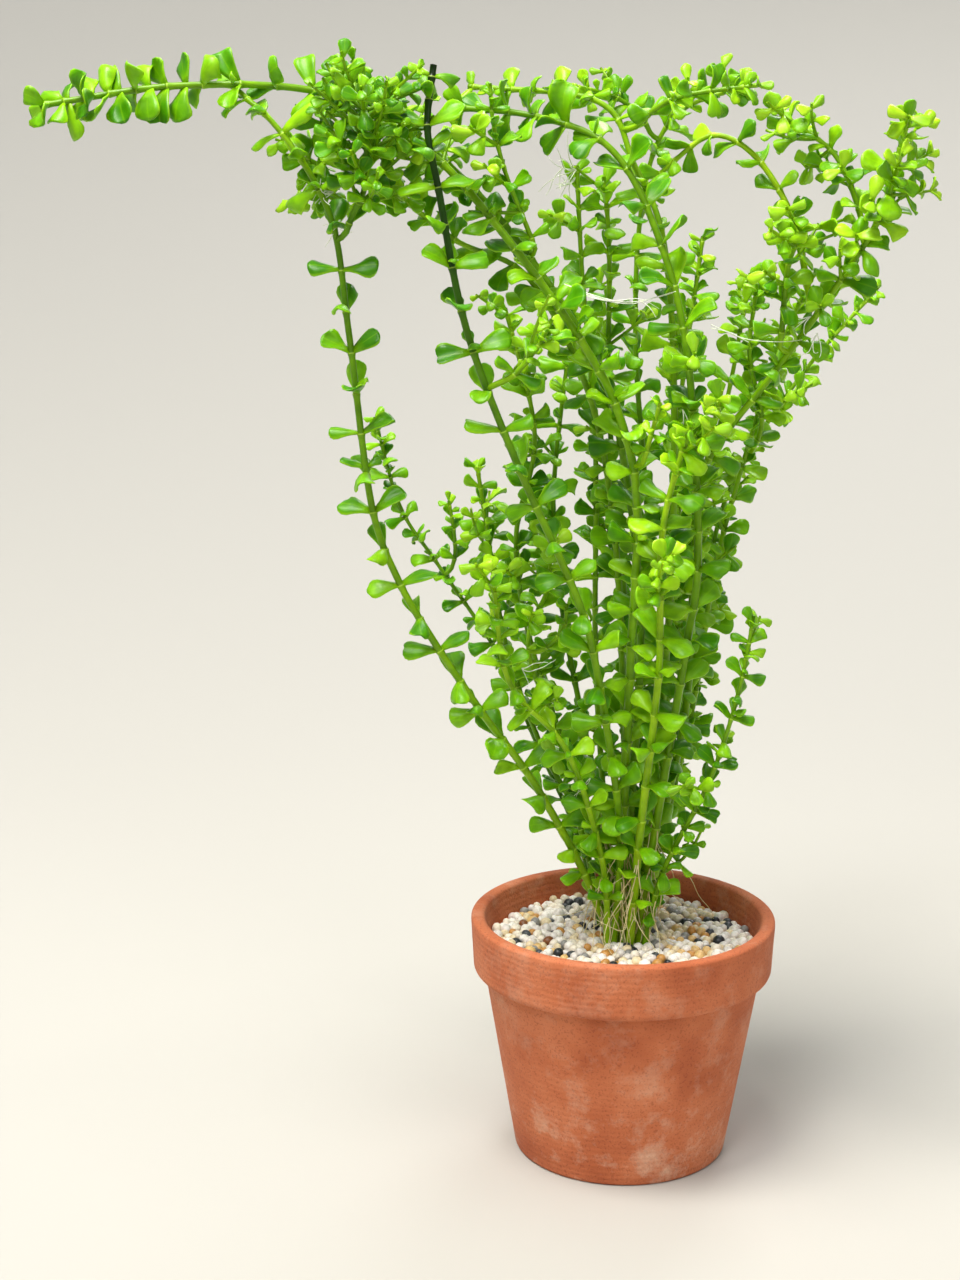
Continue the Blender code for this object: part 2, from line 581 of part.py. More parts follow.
def build():
    """Clears the scene and makes the pot, the gravel and the plant."""
    for old in list(bpy.data.objects):
        bpy.data.objects.remove(old, do_unlink=True)
    bpy.context.scene.collection.children.link(bpy.data.collections.new("potted_bacopa"))
    make_pot()
    make_gravel()
    routes, radii = all_routes()
    tubes = {name: tube_tree(routes[name], radii[name]) for name in routes}
    placed = []
    rows = dict(STEMS)
    rows.update({name: values for name, (parent, values) in SHOOTS.items()})
    for name, values in rows.items():
        joints = grow_leaves(name, routes[name], radii[name], values, tubes, placed)
        finish = material(name + " leaf and stem", (0.20, 0.45, 0.03), 0.42)
        make_stem(name, routes[name], radii[name], joints, finish)


build()
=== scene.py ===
"""Potted bacopa: clay pot, loose gravel, leafy stems and hair roots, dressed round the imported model."""
import math
import random
from collections import namedtuple
from functools import partial

import bmesh
import bpy
import numpy as np
from mathutils import Matrix, Vector
from mathutils.bvhtree import BVHTree


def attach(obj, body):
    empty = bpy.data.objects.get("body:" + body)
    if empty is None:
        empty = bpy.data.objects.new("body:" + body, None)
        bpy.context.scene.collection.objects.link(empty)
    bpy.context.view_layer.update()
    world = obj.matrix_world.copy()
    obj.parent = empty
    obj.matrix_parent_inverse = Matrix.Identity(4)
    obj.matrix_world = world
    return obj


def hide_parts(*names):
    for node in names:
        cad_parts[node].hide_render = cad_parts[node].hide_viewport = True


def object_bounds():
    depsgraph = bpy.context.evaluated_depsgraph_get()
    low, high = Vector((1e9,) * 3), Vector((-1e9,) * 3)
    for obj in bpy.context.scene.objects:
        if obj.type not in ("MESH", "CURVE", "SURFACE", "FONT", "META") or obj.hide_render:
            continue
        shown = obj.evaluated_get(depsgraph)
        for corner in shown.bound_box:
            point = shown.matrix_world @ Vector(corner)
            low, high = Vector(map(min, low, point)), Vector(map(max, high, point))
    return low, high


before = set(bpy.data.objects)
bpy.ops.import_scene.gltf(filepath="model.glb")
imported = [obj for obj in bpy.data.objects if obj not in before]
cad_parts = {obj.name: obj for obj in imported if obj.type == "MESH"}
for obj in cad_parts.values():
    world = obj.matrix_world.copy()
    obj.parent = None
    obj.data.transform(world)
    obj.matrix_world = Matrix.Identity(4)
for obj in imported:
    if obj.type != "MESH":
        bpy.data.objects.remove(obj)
cad_bounds = [list(corner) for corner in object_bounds()]
MM = 0.001

# The pot is plain earthenware, thrown or pressed, fired once and left unglazed, so it is chalky and
# slightly grainy, with faint turning lines, and lime has bloomed out on it where it stays damp.
POT_HEIGHT = 80 * MM
POT_FOOT_RADIUS = 35 * MM
POT_BODY_RADIUS = 45.5 * MM
POT_COLLAR_RADIUS = 50 * MM
POT_COLLAR_FOOT = 62 * MM
POT_WALL = 4.5 * MM
POT_FLOOR = 6 * MM


def linear(code):
    """An sRGB hex colour as linear red, green, blue and alpha."""
    shares = [int(code[i:i + 2], 16) / 255 for i in (1, 3, 5)]
    return tuple(s / 12.92 if s < 0.04045 else ((s + 0.055) / 1.055) ** 2.4 for s in shares) + (1.0,)


def wire(node, links):
    """Gives each input its value, a colour as a hex code, or the socket that feeds it."""
    for name, value in links.items():
        if isinstance(value, bpy.types.NodeSocket):
            node.id_data.links.new(value, node.inputs[name])
        else:
            node.inputs[name].default_value = linear(value) if isinstance(value, str) else value


def add_node(tree, kind, links, output=0, stops=(), **settings):
    """Adds a node with its links, settings and any colour stops, and hands back one of its outputs."""
    node = tree.nodes.new("ShaderNode" + kind)
    if stops:
        elements = node.color_ramp.elements
        while len(elements) < len(stops):
            elements.new(0.5)
        for element, (place, code) in zip(elements, stops):
            element.position = place
            element.color = linear(code)
    for setting, value in settings.items():
        setattr(node.color_ramp if stops else node, setting, value)
    wire(node, links)
    return node.outputs[output]


# How one colour lies over another: sockets 6 and 7 of a colour mix are the colours, and output 2 the result.
COVER = {"output": 2, "data_type": "RGBA", "blend_type": "MIX"}
TINT = {"output": 2, "data_type": "RGBA", "blend_type": "MULTIPLY"}


def new_material(name):
    """A material, the function that adds nodes to it, and its Principled shader."""
    material = bpy.data.materials.new(name)
    material.use_nodes = True
    tree = material.node_tree
    return material, partial(add_node, tree), tree.nodes["Principled BSDF"]


def put_in_scene(name, data):
    """An object in the scene that shows some data."""
    thing = bpy.data.objects.new(name, data)
    bpy.context.scene.collection.objects.link(thing)
    return thing


def set_piece(name, mesh, material, replaced=None):
    """Puts a finished mesh in the scene as a piece of the plant and says what it stands for."""
    mesh.materials.append(material)
    piece = put_in_scene(name, mesh)
    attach(piece, "root")
    if replaced:
        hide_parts(replaced)


def mesh_of(shape, name, smooth=True):
    """A bmesh as finished mesh data."""
    mesh = bpy.data.meshes.new(name)
    shape.to_mesh(mesh)
    shape.free()
    if smooth:
        mesh.shade_smooth()
    return mesh


def rounded_profile(corners):
    """A turned outline in radius and height, each corner rounded by its own radius."""
    outline = []
    for i, (x, z, rounding) in enumerate(corners):
        here = Vector((x, z))
        if rounding == 0.0 or i in (0, len(corners) - 1):
            outline.append(here)
            continue
        before = Vector(corners[i - 1][:2])
        after = Vector(corners[i + 1][:2])
        start = here + (before - here).normalized() * rounding
        end = here + (after - here).normalized() * rounding
        for step in range(6):
            t = step / 5
            outline.append(start * (1 - t) ** 2 + here * (2 * t * (1 - t)) + end * t * t)
    return outline


def turn_round(outline, steps, weld, longest=math.inf):
    """Spins an outline round the upright axis, with every edge over the longest length divided."""
    shape = bmesh.new()
    points = [shape.verts.new((x, 0.0, z)) for x, z in outline]
    edges = [shape.edges.new(pair) for pair in zip(points, points[1:])]
    bmesh.ops.subdivide_edges(shape, edges=[e for e in edges if e.calc_length() > longest], cuts=7)
    bmesh.ops.spin(shape, geom=shape.verts[:] + shape.edges[:], cent=(0, 0, 0), axis=(0, 0, 1),
                   angle=2 * math.pi, steps=steps, use_merge=True)
    bmesh.ops.remove_doubles(shape, verts=shape.verts, dist=weld)
    bmesh.ops.recalc_face_normals(shape, faces=shape.faces)
    return shape


pot_shape = turn_round(rounded_profile([
    (0.0, POT_FLOOR, 0.0),
    (POT_FOOT_RADIUS - POT_WALL, POT_FLOOR, 3.0 * MM),
    (POT_COLLAR_RADIUS - POT_WALL, POT_HEIGHT, 1.6 * MM),
    (POT_COLLAR_RADIUS, POT_HEIGHT, 1.6 * MM),
    (POT_COLLAR_RADIUS - 1.0 * MM, POT_COLLAR_FOOT, 1.5 * MM),
    (POT_BODY_RADIUS, POT_COLLAR_FOOT - 0.4 * MM, 1.4 * MM),
    (POT_FOOT_RADIUS, 0.0, 1.3 * MM),
    (0.0, 0.0, 0.0),
]), 112, 0.01 * MM, 12 * MM)


def terracotta():
    """Unglazed earthenware: matt, porous and orange-brown, paler where lime salts dried on it."""
    material, add, shader = new_material("unglazed terracotta")
    place = add("TexCoord", {}, "Object")
    patches = add("TexNoise", {"Vector": place, "Scale": 45.0, "Detail": 5.0})
    clay = add("ValToRGB", {"Fac": patches},
               stops=[(0.30, "#A9552F"), (0.52, "#BE6A42"), (0.72, "#CB7C55")])
    grain = add("TexNoise", {"Vector": place, "Scale": 1400.0, "Detail": 2.0})
    speck = add("ValToRGB", {"Fac": grain}, stops=[(0.33, "#8C4526"), (0.45, "#FFFFFF")])
    speckled = add("Mix", {0: 0.35, 6: clay, 7: speck}, **TINT)
    height = add("SeparateXYZ", {"Vector": place}, "Z")
    damp = add("MapRange", {"Value": height, "From Max": 45 * MM, "To Min": 1.0, "To Max": 0.35})
    bloom = add("TexNoise", {"Vector": place, "Scale": 75.0, "Detail": 5.0, "Roughness": 0.7})
    lime = add("MapRange", {"Value": bloom, "From Min": 0.50, "From Max": 0.72, "To Max": 0.62})
    amount = add("Math", {0: lime, 1: damp}, operation="MULTIPLY")
    rings = add("TexWave", {"Vector": place, "Scale": 160.0, "Distortion": 1.5, "Detail": 2.0},
                "Fac", bands_direction="Z")
    lines = add("Bump", {"Height": rings, "Distance": 0.12 * MM, "Strength": 0.5})
    wire(shader, {
        "Base Color": add("Mix", {0: amount, 6: speckled, 7: "#E0C3A9"}, **COVER),
        "Roughness": add("MapRange", {"Value": grain, "To Min": 0.78, "To Max": 0.95}),
        "Normal": add("Bump", {"Height": grain, "Distance": 0.15 * MM, "Strength": 0.7, "Normal": lines})})
    return material


set_piece("pot_clay", mesh_of(pot_shape, "pot_clay"), terracotta(), "pot")

# The gravel is river quartz, about 3 mm, tumbled round and smooth. Most grains are cream or white,
# with some ochre, grey and black. It is poured loose on a bed of the same and firmed round the stems.
GRAVEL_LEVEL = 72 * MM
GRAIN_SIZE = 3.1 * MM
BED_RADIUS = 43.4 * MM
BED_FOOT_RADIUS = 31 * MM
BED_LOW = POT_FLOOR + 0.2 * MM
BED_HIGH = GRAVEL_LEVEL - 2.2 * MM
BED_SHADE = 0.18

bed = bmesh.new()
bmesh.ops.create_cone(bed, cap_ends=True, segments=64, radius1=BED_FOOT_RADIUS, radius2=BED_RADIUS,
                      depth=BED_HIGH - BED_LOW)
bmesh.ops.translate(bed, verts=bed.verts, vec=(0, 0, (BED_HIGH + BED_LOW) / 2))


def quartz(name, mottled):
    """Tumbled quartz: each grain one colour, waxy and faintly mottled, with a soft wet-looking gloss."""
    material, add, shader = new_material(name)
    shade = add("Attribute", {}, "Fac", attribute_name="shade")
    stone = add("ValToRGB", {"Fac": shade}, interpolation="CONSTANT", stops=[
        (0.00, "#1C2126"), (0.05, "#3A3F44"), (0.08, "#8D8C88"), (0.11, "#7E4A22"), (0.12, "#C08A42"),
        (0.17, "#DDB878"), (0.25, "#E8D6B0"), (0.40, "#EFE6D4"), (0.62, "#F3EEE6"), (0.85, "#E2DCD6")])
    place = add("TexCoord", {}, "Object")
    mottle = add("TexNoise", {"Vector": place, "Scale": 900.0, "Detail": 2.0})
    cloudy = add("ValToRGB", {"Fac": mottle}, stops=[(0.30, "#C4BAAA"), (0.55, "#FFFFFF")])
    wire(shader, {
        "Base Color": add("Mix", {0: mottled, 6: stone, 7: cloudy}, **TINT),
        "Roughness": add("MapRange", {"Value": mottle, "To Min": 0.28, "To Max": 0.55}),
        "Normal": add("Bump", {"Height": mottle, "Distance": 0.08 * MM, "Strength": 0.4}),
        "IOR": 1.54})
    return material


bed_shade = bed.verts.layers.float.new("shade")
for vert in bed.verts:
    vert[bed_shade] = BED_SHADE
bed_mesh = mesh_of(bed, "gravel_bed", False)
set_piece("gravel_bed", bed_mesh, quartz("packed quartz", 0.9), "gravel")

# The plant is one bunch of bacopa cuttings. The stems are round, green and brittle, swollen at joints
# about a centimetre apart, and each joint holds two thick spoon-shaped leaves, a quarter turn from the last.
GAP = 0.3 * MM
ROUTE_STEP = 2 * MM
CURVE_STEPS = 20
STEM_GAP = 0.75 * MM
NEIGHBOUR = 9 * MM
LOOK_AGAIN = 20
PUSH_SHARE = 0.9
FORK_FADE = 12
SQUARE_GROWTH = 1.12
YOUNG_JOINTS = 5
BARE_TIP = 1.2 * MM
LEAF_WIDTH = 0.6
LEAF_THICKNESS = 0.95 * MM
LEAF_WIDEST = 0.7
LEAF_SPACE = 0.45 * MM
LIGHT_WAY = Vector((0.15, -0.9, 0.42))
LIGHT_DROOP = 24
LIGHT_LIFT = 14
Row = namedtuple("Row", "foot tip spacing leaf turns first sharing route")

# One row a stem: thickness at the foot and at the tip, distance between leaf pairs, leaf length,
# quarter turns of the first pair, height of the first pair, how many pairs share one solid pair,
# and the route, in millimetres from the middle of the gravel.
STEMS = {
    "stem_far_left": (2.7, 1.7, 12.2, 10.5, 0.0, 40, 1, [
        (-4, -1, 0), (-15, -4, 27), (-31, -10, 57), (-46, -15, 79), (-61, -20, 103), (-72, -22, 123),
        (-80, -24, 147), (-86, -27, 199), (-91, -28, 233), (-106, -27, 258), (-123, -20, 272)]),
    "stem_floating_left": (3.2, 1.9, 11.0, 10.0, 0.4, 48, 3, [
        (-1, -3, 0), (-1, -8, 38), (0, -18, 97), (1, -22, 144), (-4, -24, 171), (-16, -25, 195),
        (-42, -26, 230), (-63, -20, 252), (-92, -18, 268), (-134, -24, 270), (-176, -28, 264)]),
    "stem_left_high": (2.8, 1.8, 13.0, 10.0, 0.2, 60, 4, [
        (2, 4, 0), (2, 2, 34), (4, -4, 106), (-3, -10, 161), (-13, -13, 192), (-41, -14, 232),
        (-66, -9, 256), (-82, -10, 267), (-90, -14, 277)]),
    "stem_dark": (2.6, 2.0, 12.5, 10.5, 0.0, 55, 3, [
        (-3, -5, 0), (-2, -12, 39), (-10, -26, 90), (-17, -32, 118), (-36, -38, 161), (-51, -42, 201),
        (-59, -41, 241), (-62, -40, 258), (-60, -36, 277)]),
    "stem_right_bright": (3.0, 1.8, 12.5, 11.0, 0.5, 40, 4, [
        (5, -4, 0), (9, -8, 35), (17, -16, 98), (20, -20, 131), (15, -25, 192), (5, -22, 229),
        (-9, -17, 253), (-31, -10, 262), (-58, -4, 265)]),
    "stem_upright_right": (2.6, 1.7, 12.0, 9.5, 0.0, 50, 4, [
        (5, 3, 0), (8, 3, 31), (13, -3, 106), (13, -6, 179), (9, -5, 225), (0, 0, 248), (-11, 6, 267),
        (-51, 16, 272)]),
    "stem_centre_thin": (2.2, 1.4, 10.5, 8.5, 0.4, 55, 3, [
        (-1, 7, 0), (-5, 10, 32), (-9, 16, 91), (-10, 14, 160), (-15, 12, 216), (-17, 12, 250)]),
    "stem_centre_rear": (2.4, 1.5, 11.0, 9.0, 0.0, 50, 4, [
        (2, 9, 0), (4, 16, 30), (2, 24, 95), (-5, 22, 168), (-6, 20, 221), (-8, 22, 246)]),
    "stem_left_rising": (2.5, 1.6, 12.0, 9.5, 0.5, 60, 4, [
        (1, 1, 0), (1, 9, 33), (0, 8, 71), (-4, 2, 132), (-13, -3, 178), (-32, -8, 214), (-55, -12, 226),
        (-76, -15, 243)]),
    "stem_far_right": (2.8, 1.8, 11.5, 10.0, 0.0, 45, 2, [
        (7, 0, 0), (12, 8, 30), (21, 14, 75), (22, 10, 125), (24, 6, 154), (45, -2, 186), (59, -9, 208),
        (73, -17, 234), (79, -20, 262)]),
    "stem_right_slim": (2.2, 1.4, 11.0, 9.0, 0.5, 35, 3, [
        (6, 6, 0), (12, 14, 22), (24, 26, 69), (31, 28, 118), (40, 24, 158), (48, 20, 188), (56, 20, 208)]),
    "stem_right_front": (1.9, 1.2, 8.5, 7.5, 0.0, 18, 2, [
        (7, -7, 0), (12, -12, 26), (25, -22, 59), (33, -26, 89), (37, -26, 113)]),
    "stem_left_front": (2.2, 1.4, 10.0, 8.5, 0.0, 32, 2, [
        (-5, -7, 0), (-8, -14, 31), (-20, -26, 70), (-38, -31, 93), (-43, -34, 124)]),
    "stem_left_bowed": (2.0, 1.3, 9.5, 8.0, 0.5, 30, 3, [
        (-3, 4, 0), (-8, 2, 34), (-25, -10, 78), (-32, -15, 102), (-26, -14, 119), (-25, -12, 132)]),
    "stem_rear_left": (1.9, 1.2, 9.0, 7.5, 0.0, 70, 2, [
        (-6, 9, 0), (-14, 30, 26), (-28, 50, 54), (-41, 62, 82), (-62, 71, 112), (-75, 73, 132),
        (-84, 74, 164)]),
    "stem_rear_right": (2.2, 1.3, 9.5, 8.0, 0.5, 65, 3, [
        (6, 10, 0), (16, 34, 30), (25, 52, 60), (31, 62, 98), (40, 68, 139), (64, 74, 177),
        (91, 78, 208)]),
    "stem_front_bright": (3.0, 1.7, 12.5, 10.5, 0.5, 45, 2, [
        (2, -7, 0), (4, -16, 40), (8, -27, 95), (8, -31, 140), (16, -34, 174)]),
    "stem_rear_lean_left": (2.2, 1.4, 10.5, 9.0, 0.0, 55, 2, [
        (-5, 7, 0), (-14, 28, 32), (-26, 40, 54), (-38, 45, 88), (-45, 46, 131), (-48, 46, 150)]),
    "stem_rear_wavy": (2.3, 1.4, 11.0, 9.0, 0.5, 60, 3, [
        (-3, 10, 0), (-12, 26, 38), (-29, 34, 88), (-35, 32, 127), (-29, 30, 162), (-39, 32, 204)]),
    "stem_rear_centre": (2.3, 1.4, 11.0, 9.0, 0.0, 55, 4, [
        (0, 12, 0), (-6, 34, 36), (-18, 47, 95), (-22, 50, 140), (-14, 52, 214)]),
    "stem_rear_slant": (2.3, 1.4, 11.0, 9.0, 0.5, 60, 4, [
        (5, 8, 0), (13, 40, 34), (28, 55, 90), (29, 54, 141), (37, 54, 173), (44, 58, 214)]),
    "stem_rear_tall": (2.5, 1.5, 11.5, 9.5, 0.0, 60, 4, [
        (2, 13, 0), (6, 44, 33), (12, 62, 110), (6, 62, 190), (8, 62, 240), (18, 59, 265), (42, 56, 275)]),
    "stem_rear_right_upright": (2.3, 1.4, 11.0, 9.0, 0.3, 50, 4, [
        (4, 11, 0), (10, 26, 33), (20, 38, 100), (19, 38, 165), (26, 42, 226)]),
}

# Side shoots: the stem each one grows from, and the same values again.
SHOOTS = {
    "shoot_arch": ("stem_far_right", (2.2, 1.4, 10.0, 8.5, 0.5, 0, 2, [
        (56, -7, 201), (54, -4, 212), (48, 0, 234), (37, 4, 251), (25, 8, 257), (14, 11, 250),
        (3, 14, 239)])),
    "shoot_clump": ("stem_far_left", (1.9, 1.3, 6.5, 8.5, 0.5, 0, 2, [
        (-89, -28, 222), (-85, -31, 232), (-80, -34, 243), (-80, -35, 264)])),
    "shoot_inner_right": ("stem_far_right", (2.0, 1.3, 9.5, 8.5, 0.0, 0, 2, [
        (45, -2, 185), (46, -6, 197), (46, -12, 217), (51, -16, 232)])),
    "shoot_dark_side": ("stem_dark", (1.9, 1.3, 8.5, 8.0, 0.0, 0, 1, [
        (-45, -41, 184), (-37, -42, 188), (-31, -42, 195), (-26, -42, 204)])),
    "shoot_thin_high": ("stem_left_high", (1.6, 1.1, 8.0, 6.5, 0.0, 0, 2, [
        (-28, -15, 215), (-32, -18, 227), (-39, -20, 244), (-43, -19, 259), (-44, -18, 271)])),
    "shoot_right_crown": ("stem_far_right", (1.9, 1.2, 8.5, 8.5, 0.5, 0, 2, [
        (67, -14, 225), (66, -11, 236), (60, -6, 251), (47, -2, 261)])),
    "shoot_right_inner": ("stem_right_slim", (1.8, 1.2, 9.0, 8.0, 0.5, 0, 2, [
        (37, 24, 152), (43, 14, 168), (38, 9, 190), (40, 10, 212)])),
    "shoot_rear_left": ("stem_rear_left", (1.6, 1.1, 8.0, 6.5, 0.5, 0, 2, [
        (-57, 70, 107), (-55, 66, 118), (-58, 64, 136)])),
    "shoot_pale": ("stem_floating_left", (1.7, 1.1, 8.0, 6.0, 0.5, 0, 1, [
        (0, -25, 152), (3, -29, 164), (7, -31, 180)])),
    "shoot_rosette": ("stem_right_bright", (1.8, 1.3, 6.0, 7.0, 0.0, 0, 2, [
        (18, -25, 162), (23, -27, 171), (25, -29, 182)])),
    "shoot_hooked": ("stem_left_bowed", (1.6, 1.1, 7.5, 6.5, 0.0, 0, 2, [
        (-31, -15, 98), (-26, -20, 102), (-21, -21, 108), (-20, -20, 117)])),
    "shoot_surface_right": ("stem_upright_right", (1.9, 1.2, 8.5, 8.5, 0.5, 0, 2, [
        (-3, 1, 254), (3, -1, 262), (14, -5, 268), (37, -12, 271)])),
    "shoot_surface_rear": ("stem_rear_tall", (1.8, 1.2, 8.5, 8.0, 0.5, 0, 2, [
        (13, 60, 255), (6, 55, 265), (-4, 52, 271), (-18, 46, 274)])),
    "shoot_drooping": ("stem_floating_left", (1.8, 1.2, 7.5, 9.0, 0.0, 0, 2, [
        (-86, -18, 266), (-94, -15, 259), (-99, -12, 247), (-96, -10, 236)])),
}


def lengths_along(route):
    """How far each point of a route lies from its start, measured along it."""
    return np.concatenate(([0.0], np.cumsum(np.linalg.norm(np.diff(route, axis=0), axis=1))))


def spot_at(place, along, route):
    """The spot that lies a given way along a route."""
    return Vector([float(np.interp(place, along, route[:, i])) for i in range(3)])


def nearest_point(route, spot):
    """Which point of a route lies nearest to a spot."""
    return np.linalg.norm(route - np.array(spot), axis=1).argmin()


def quarter_turned(side, quarters, axis):
    """A direction turned round an axis by so many quarter turns."""
    return Matrix.Rotation(quarters * math.pi / 2, 3, axis) @ side


def smooth_route(points):
    """A Catmull-Rom curve through given points over the gravel, read off at even steps, in metres."""
    known = [Vector(p) * MM + Vector((0, 0, GRAVEL_LEVEL + GAP)) for p in points]
    known = [known[0] * 2 - known[1]] + known + [known[-1] * 2 - known[-2]]
    fine = []
    for a, b, c, d in zip(known, known[1:], known[2:], known[3:]):
        for t in [i / CURVE_STEPS for i in range(CURVE_STEPS)]:
            fine.append(0.5 * (b * 2 + (c - a) * t + (a * 2 - b * 5 + c * 4 - d) * t * t
                               + (b * 3 - a - c * 3 + d) * t * t * t))
    fine = np.array(fine + [known[-2]])
    along = lengths_along(fine)
    even = np.linspace(0.0, along[-1], max(4, round(along[-1] / ROUTE_STEP) + 1))
    return np.column_stack([np.interp(even, along, fine[:, i]) for i in range(3)])


def stem_radius(row, count):
    """Half the stem's thickness at each point of its route, widest at the foot."""
    return np.linspace(row.foot, row.tip, count) * 0.5 * MM


def strongest(old, new):
    """Row by row, the longer of two moves."""
    keep = np.linalg.norm(old, axis=1) > np.linalg.norm(new, axis=1)
    return np.where(keep[:, None], old, new)


def part_routes(routes, radii, fixed, rounds):
    """Pushes routes sideways until no two stems are nearer than STEM_GAP; the fixed ones stay."""
    names = list(routes)
    kernel = np.array([1, 2, 3, 2, 1]) / 9
    pairs = [(a, b) for i, a in enumerate(names) for b in names[i + 1:] if not (a in fixed and b in fixed)]
    for count in range(rounds):
        moves = {name: np.zeros_like(routes[name]) for name in names}
        look_again = count % LOOK_AGAIN == 0
        looked_at = pairs if look_again else close
        close = [] if look_again else close
        for one, other in looked_at:
            away = routes[one][:, None, :] - routes[other][None, :, :]
            reach = np.sqrt(np.einsum("ijk,ijk->ij", away, away))
            if look_again and reach.min() < NEIGHBOUR:
                close.append((one, other))
            need = (radii[one][:, None] + radii[other][None, :]) * SQUARE_GROWTH + STEM_GAP
            rows, columns = np.nonzero(reach < need)
            if not len(rows):
                continue
            sideways = away[rows, columns]
            sideways[:, 2] = 0.0
            sideways[:, 0] += 1e-6
            sideways /= np.linalg.norm(sideways, axis=1)[:, None]
            push = sideways * (need[rows, columns] - reach[rows, columns])[:, None]
            free_one, free_other = one not in fixed, other not in fixed
            share = 0.5 if free_one and free_other else 1.0
            if free_one:
                moves[one][rows] = strongest(moves[one][rows], share * push)
            if free_other:
                moves[other][columns] = strongest(moves[other][columns], -share * push)
        for name in names:
            if name not in fixed:
                padded = np.pad(moves[name], ((2, 2), (0, 0)), mode="edge")
                soft = np.column_stack([np.convolve(padded[:, i], kernel, "valid") for i in range(3)])
                routes[name] = routes[name] + PUSH_SHARE * soft


def fork_route(points, parent, parent_radius, own_radius):
    """A side shoot's route, moved to start at its parent's side with the gap of a separate piece."""
    route = smooth_route(points)
    shift = parent[nearest_point(parent, route[0])] - route[0]
    route = route + shift * np.clip(1.0 - np.arange(len(route)) / FORK_FADE, 0.0, 1.0)[:, None]
    apart = np.linalg.norm(route[:, None, :] - parent[None, :, :], axis=2).min(axis=1)
    start = int((apart > (parent_radius + own_radius) * SQUARE_GROWTH + STEM_GAP).argmax())
    return route[start:]


def frames_along(route, quarter_turns):
    """A tangent and a side direction at each point, carried along the route without twist."""
    tangents = [Vector(t).normalized() for t in np.gradient(route, axis=0)]
    side = Vector((1, 0, 0))
    side = (side - tangents[0] * side.dot(tangents[0])).normalized()
    side = quarter_turned(side, quarter_turns, tangents[0])
    sides = []
    for tangent in tangents:
        side = (side - tangent * side.dot(tangent)).normalized()
        sides.append(side.copy())
    return tangents, sides


def joint_places(route, row):
    """Distances along the stem of its leaf joints, closer together near the tip."""
    spacing, along = row.spacing * MM, lengths_along(route)
    start = float(np.interp(GRAVEL_LEVEL + row.first * MM, route[:, 2], along)) if row.first else 0.0
    place = max(start, 0.6 * spacing)
    places = []
    while place < along[-1] - BARE_TIP:
        places.append(place)
        near_tip = min(1.0, (along[-1] - place) / (YOUNG_JOINTS * spacing))
        place += spacing * (0.4 + 0.6 * near_tip)
    return places, along


def joint_at(name, place, along, frames, length):
    """A joint: its middle, the stem's way, side and radius there, and the length of its leaves."""
    index = int(np.interp(place, along, np.arange(len(along))))
    radius = float(np.interp(place, along, radii[name]))
    return spot_at(place, along, routes[name]), frames[0][index], frames[1][index], radius, length


def square_run(rings):
    """The corners of a run of squares, and the faces along its four sides."""
    points = [corner for ring in rings for corner in ring]
    return points, [(k + i, k + (i + 1) % 4, k + 4 + (i + 1) % 4, k + 4 + i)
                    for k in range(0, len(points) - 4, 4) for i in range(4)]


class Leaf:
    """One leaf: where it leaves the stem, which way it points, and its size."""

    def __init__(self, base, direction, faces, length, droop):
        self.base, self.length, self.droop = base, length, droop
        self.direction = direction
        self.across = direction.cross(faces).normalized()
        self.tip_way = Matrix.Rotation(-droop, 3, self.across) @ direction

    def corners(self, middle, width, thickness):
        """Four corners of a cross-section."""
        up = self.across.cross(self.direction).normalized()
        return [middle + self.across * (width / 2 * sx) + up * (thickness / 2 * sy)
                for sx, sy in ((-1, -1), (1, -1), (1, 1), (-1, 1))]

    def tree(self, whole):
        """The leaf grown by LEAF_SPACE all round, with its foot or without, to find what it would touch."""
        widest = self.base + self.direction * (self.length * LEAF_WIDEST)
        tip = widest + self.tip_way * (self.length * (1 - LEAF_WIDEST))
        wide, thick = self.length * LEAF_WIDTH + 2 * LEAF_SPACE, LEAF_THICKNESS + 2 * LEAF_SPACE
        rings = [self.corners(widest, wide, thick), self.corners(tip, 1.2 * MM, 2 * LEAF_SPACE)]
        if whole:
            foot = self.base + self.direction * (0.9 * MM)
            rings.insert(0, self.corners(foot, 1.6 * MM + LEAF_SPACE, 1.4 * MM + LEAF_SPACE))
        points, faces = square_run(rings)
        ends = [(0, 1, 2, 3), tuple(range(len(points) - 4, len(points)))]
        return points, BVHTree.FromPolygons(points, ends + faces)


CROWD_ROOM = 14000
RUN = 6


class Crowd:
    """Everything that a new leaf mustn't touch, found quickly by its box."""

    def __init__(self):
        self.lows, self.highs, self.things = np.empty((CROWD_ROOM, 3)), np.empty((CROWD_ROOM, 3)), []

    def add(self, owner, points, tree):
        """Takes in one leaf, or one short run of stem with its stem's name."""
        spots = np.array(points)
        self.lows[len(self.things)], self.highs[len(self.things)] = spots.min(axis=0), spots.max(axis=0)
        self.things.append((owner, tree))

    def add_tube(self, owner, route, radii):
        """Takes in a bare stem as a square tube, in short runs."""
        rings = []
        for place, radius, tangent, side in zip(route, radii, *frames_along(route, 0.5)):
            rings.append([Vector(place) + quarter_turned(side, quarter, tangent) * (radius * SQUARE_GROWTH)
                          for quarter in range(4)])
        for first in range(0, len(rings) - 1, RUN):
            points, faces = square_run(rings[first:first + RUN + 1])
            self.add(owner, points, BVHTree.FromPolygons(points, faces))

    def touches(self, owner, points, whole, outer):
        """Whether a shape meets anything; against its own stem only its outer part counts."""
        spots = np.array(points)
        count = len(self.things)
        below, above = spots.min(axis=0) < self.highs[:count], spots.max(axis=0) > self.lows[:count]
        return any((outer if self.things[i][0] == owner else whole).overlap(self.things[i][1])
                   for i in np.flatnonzero((below & above).all(axis=1)))


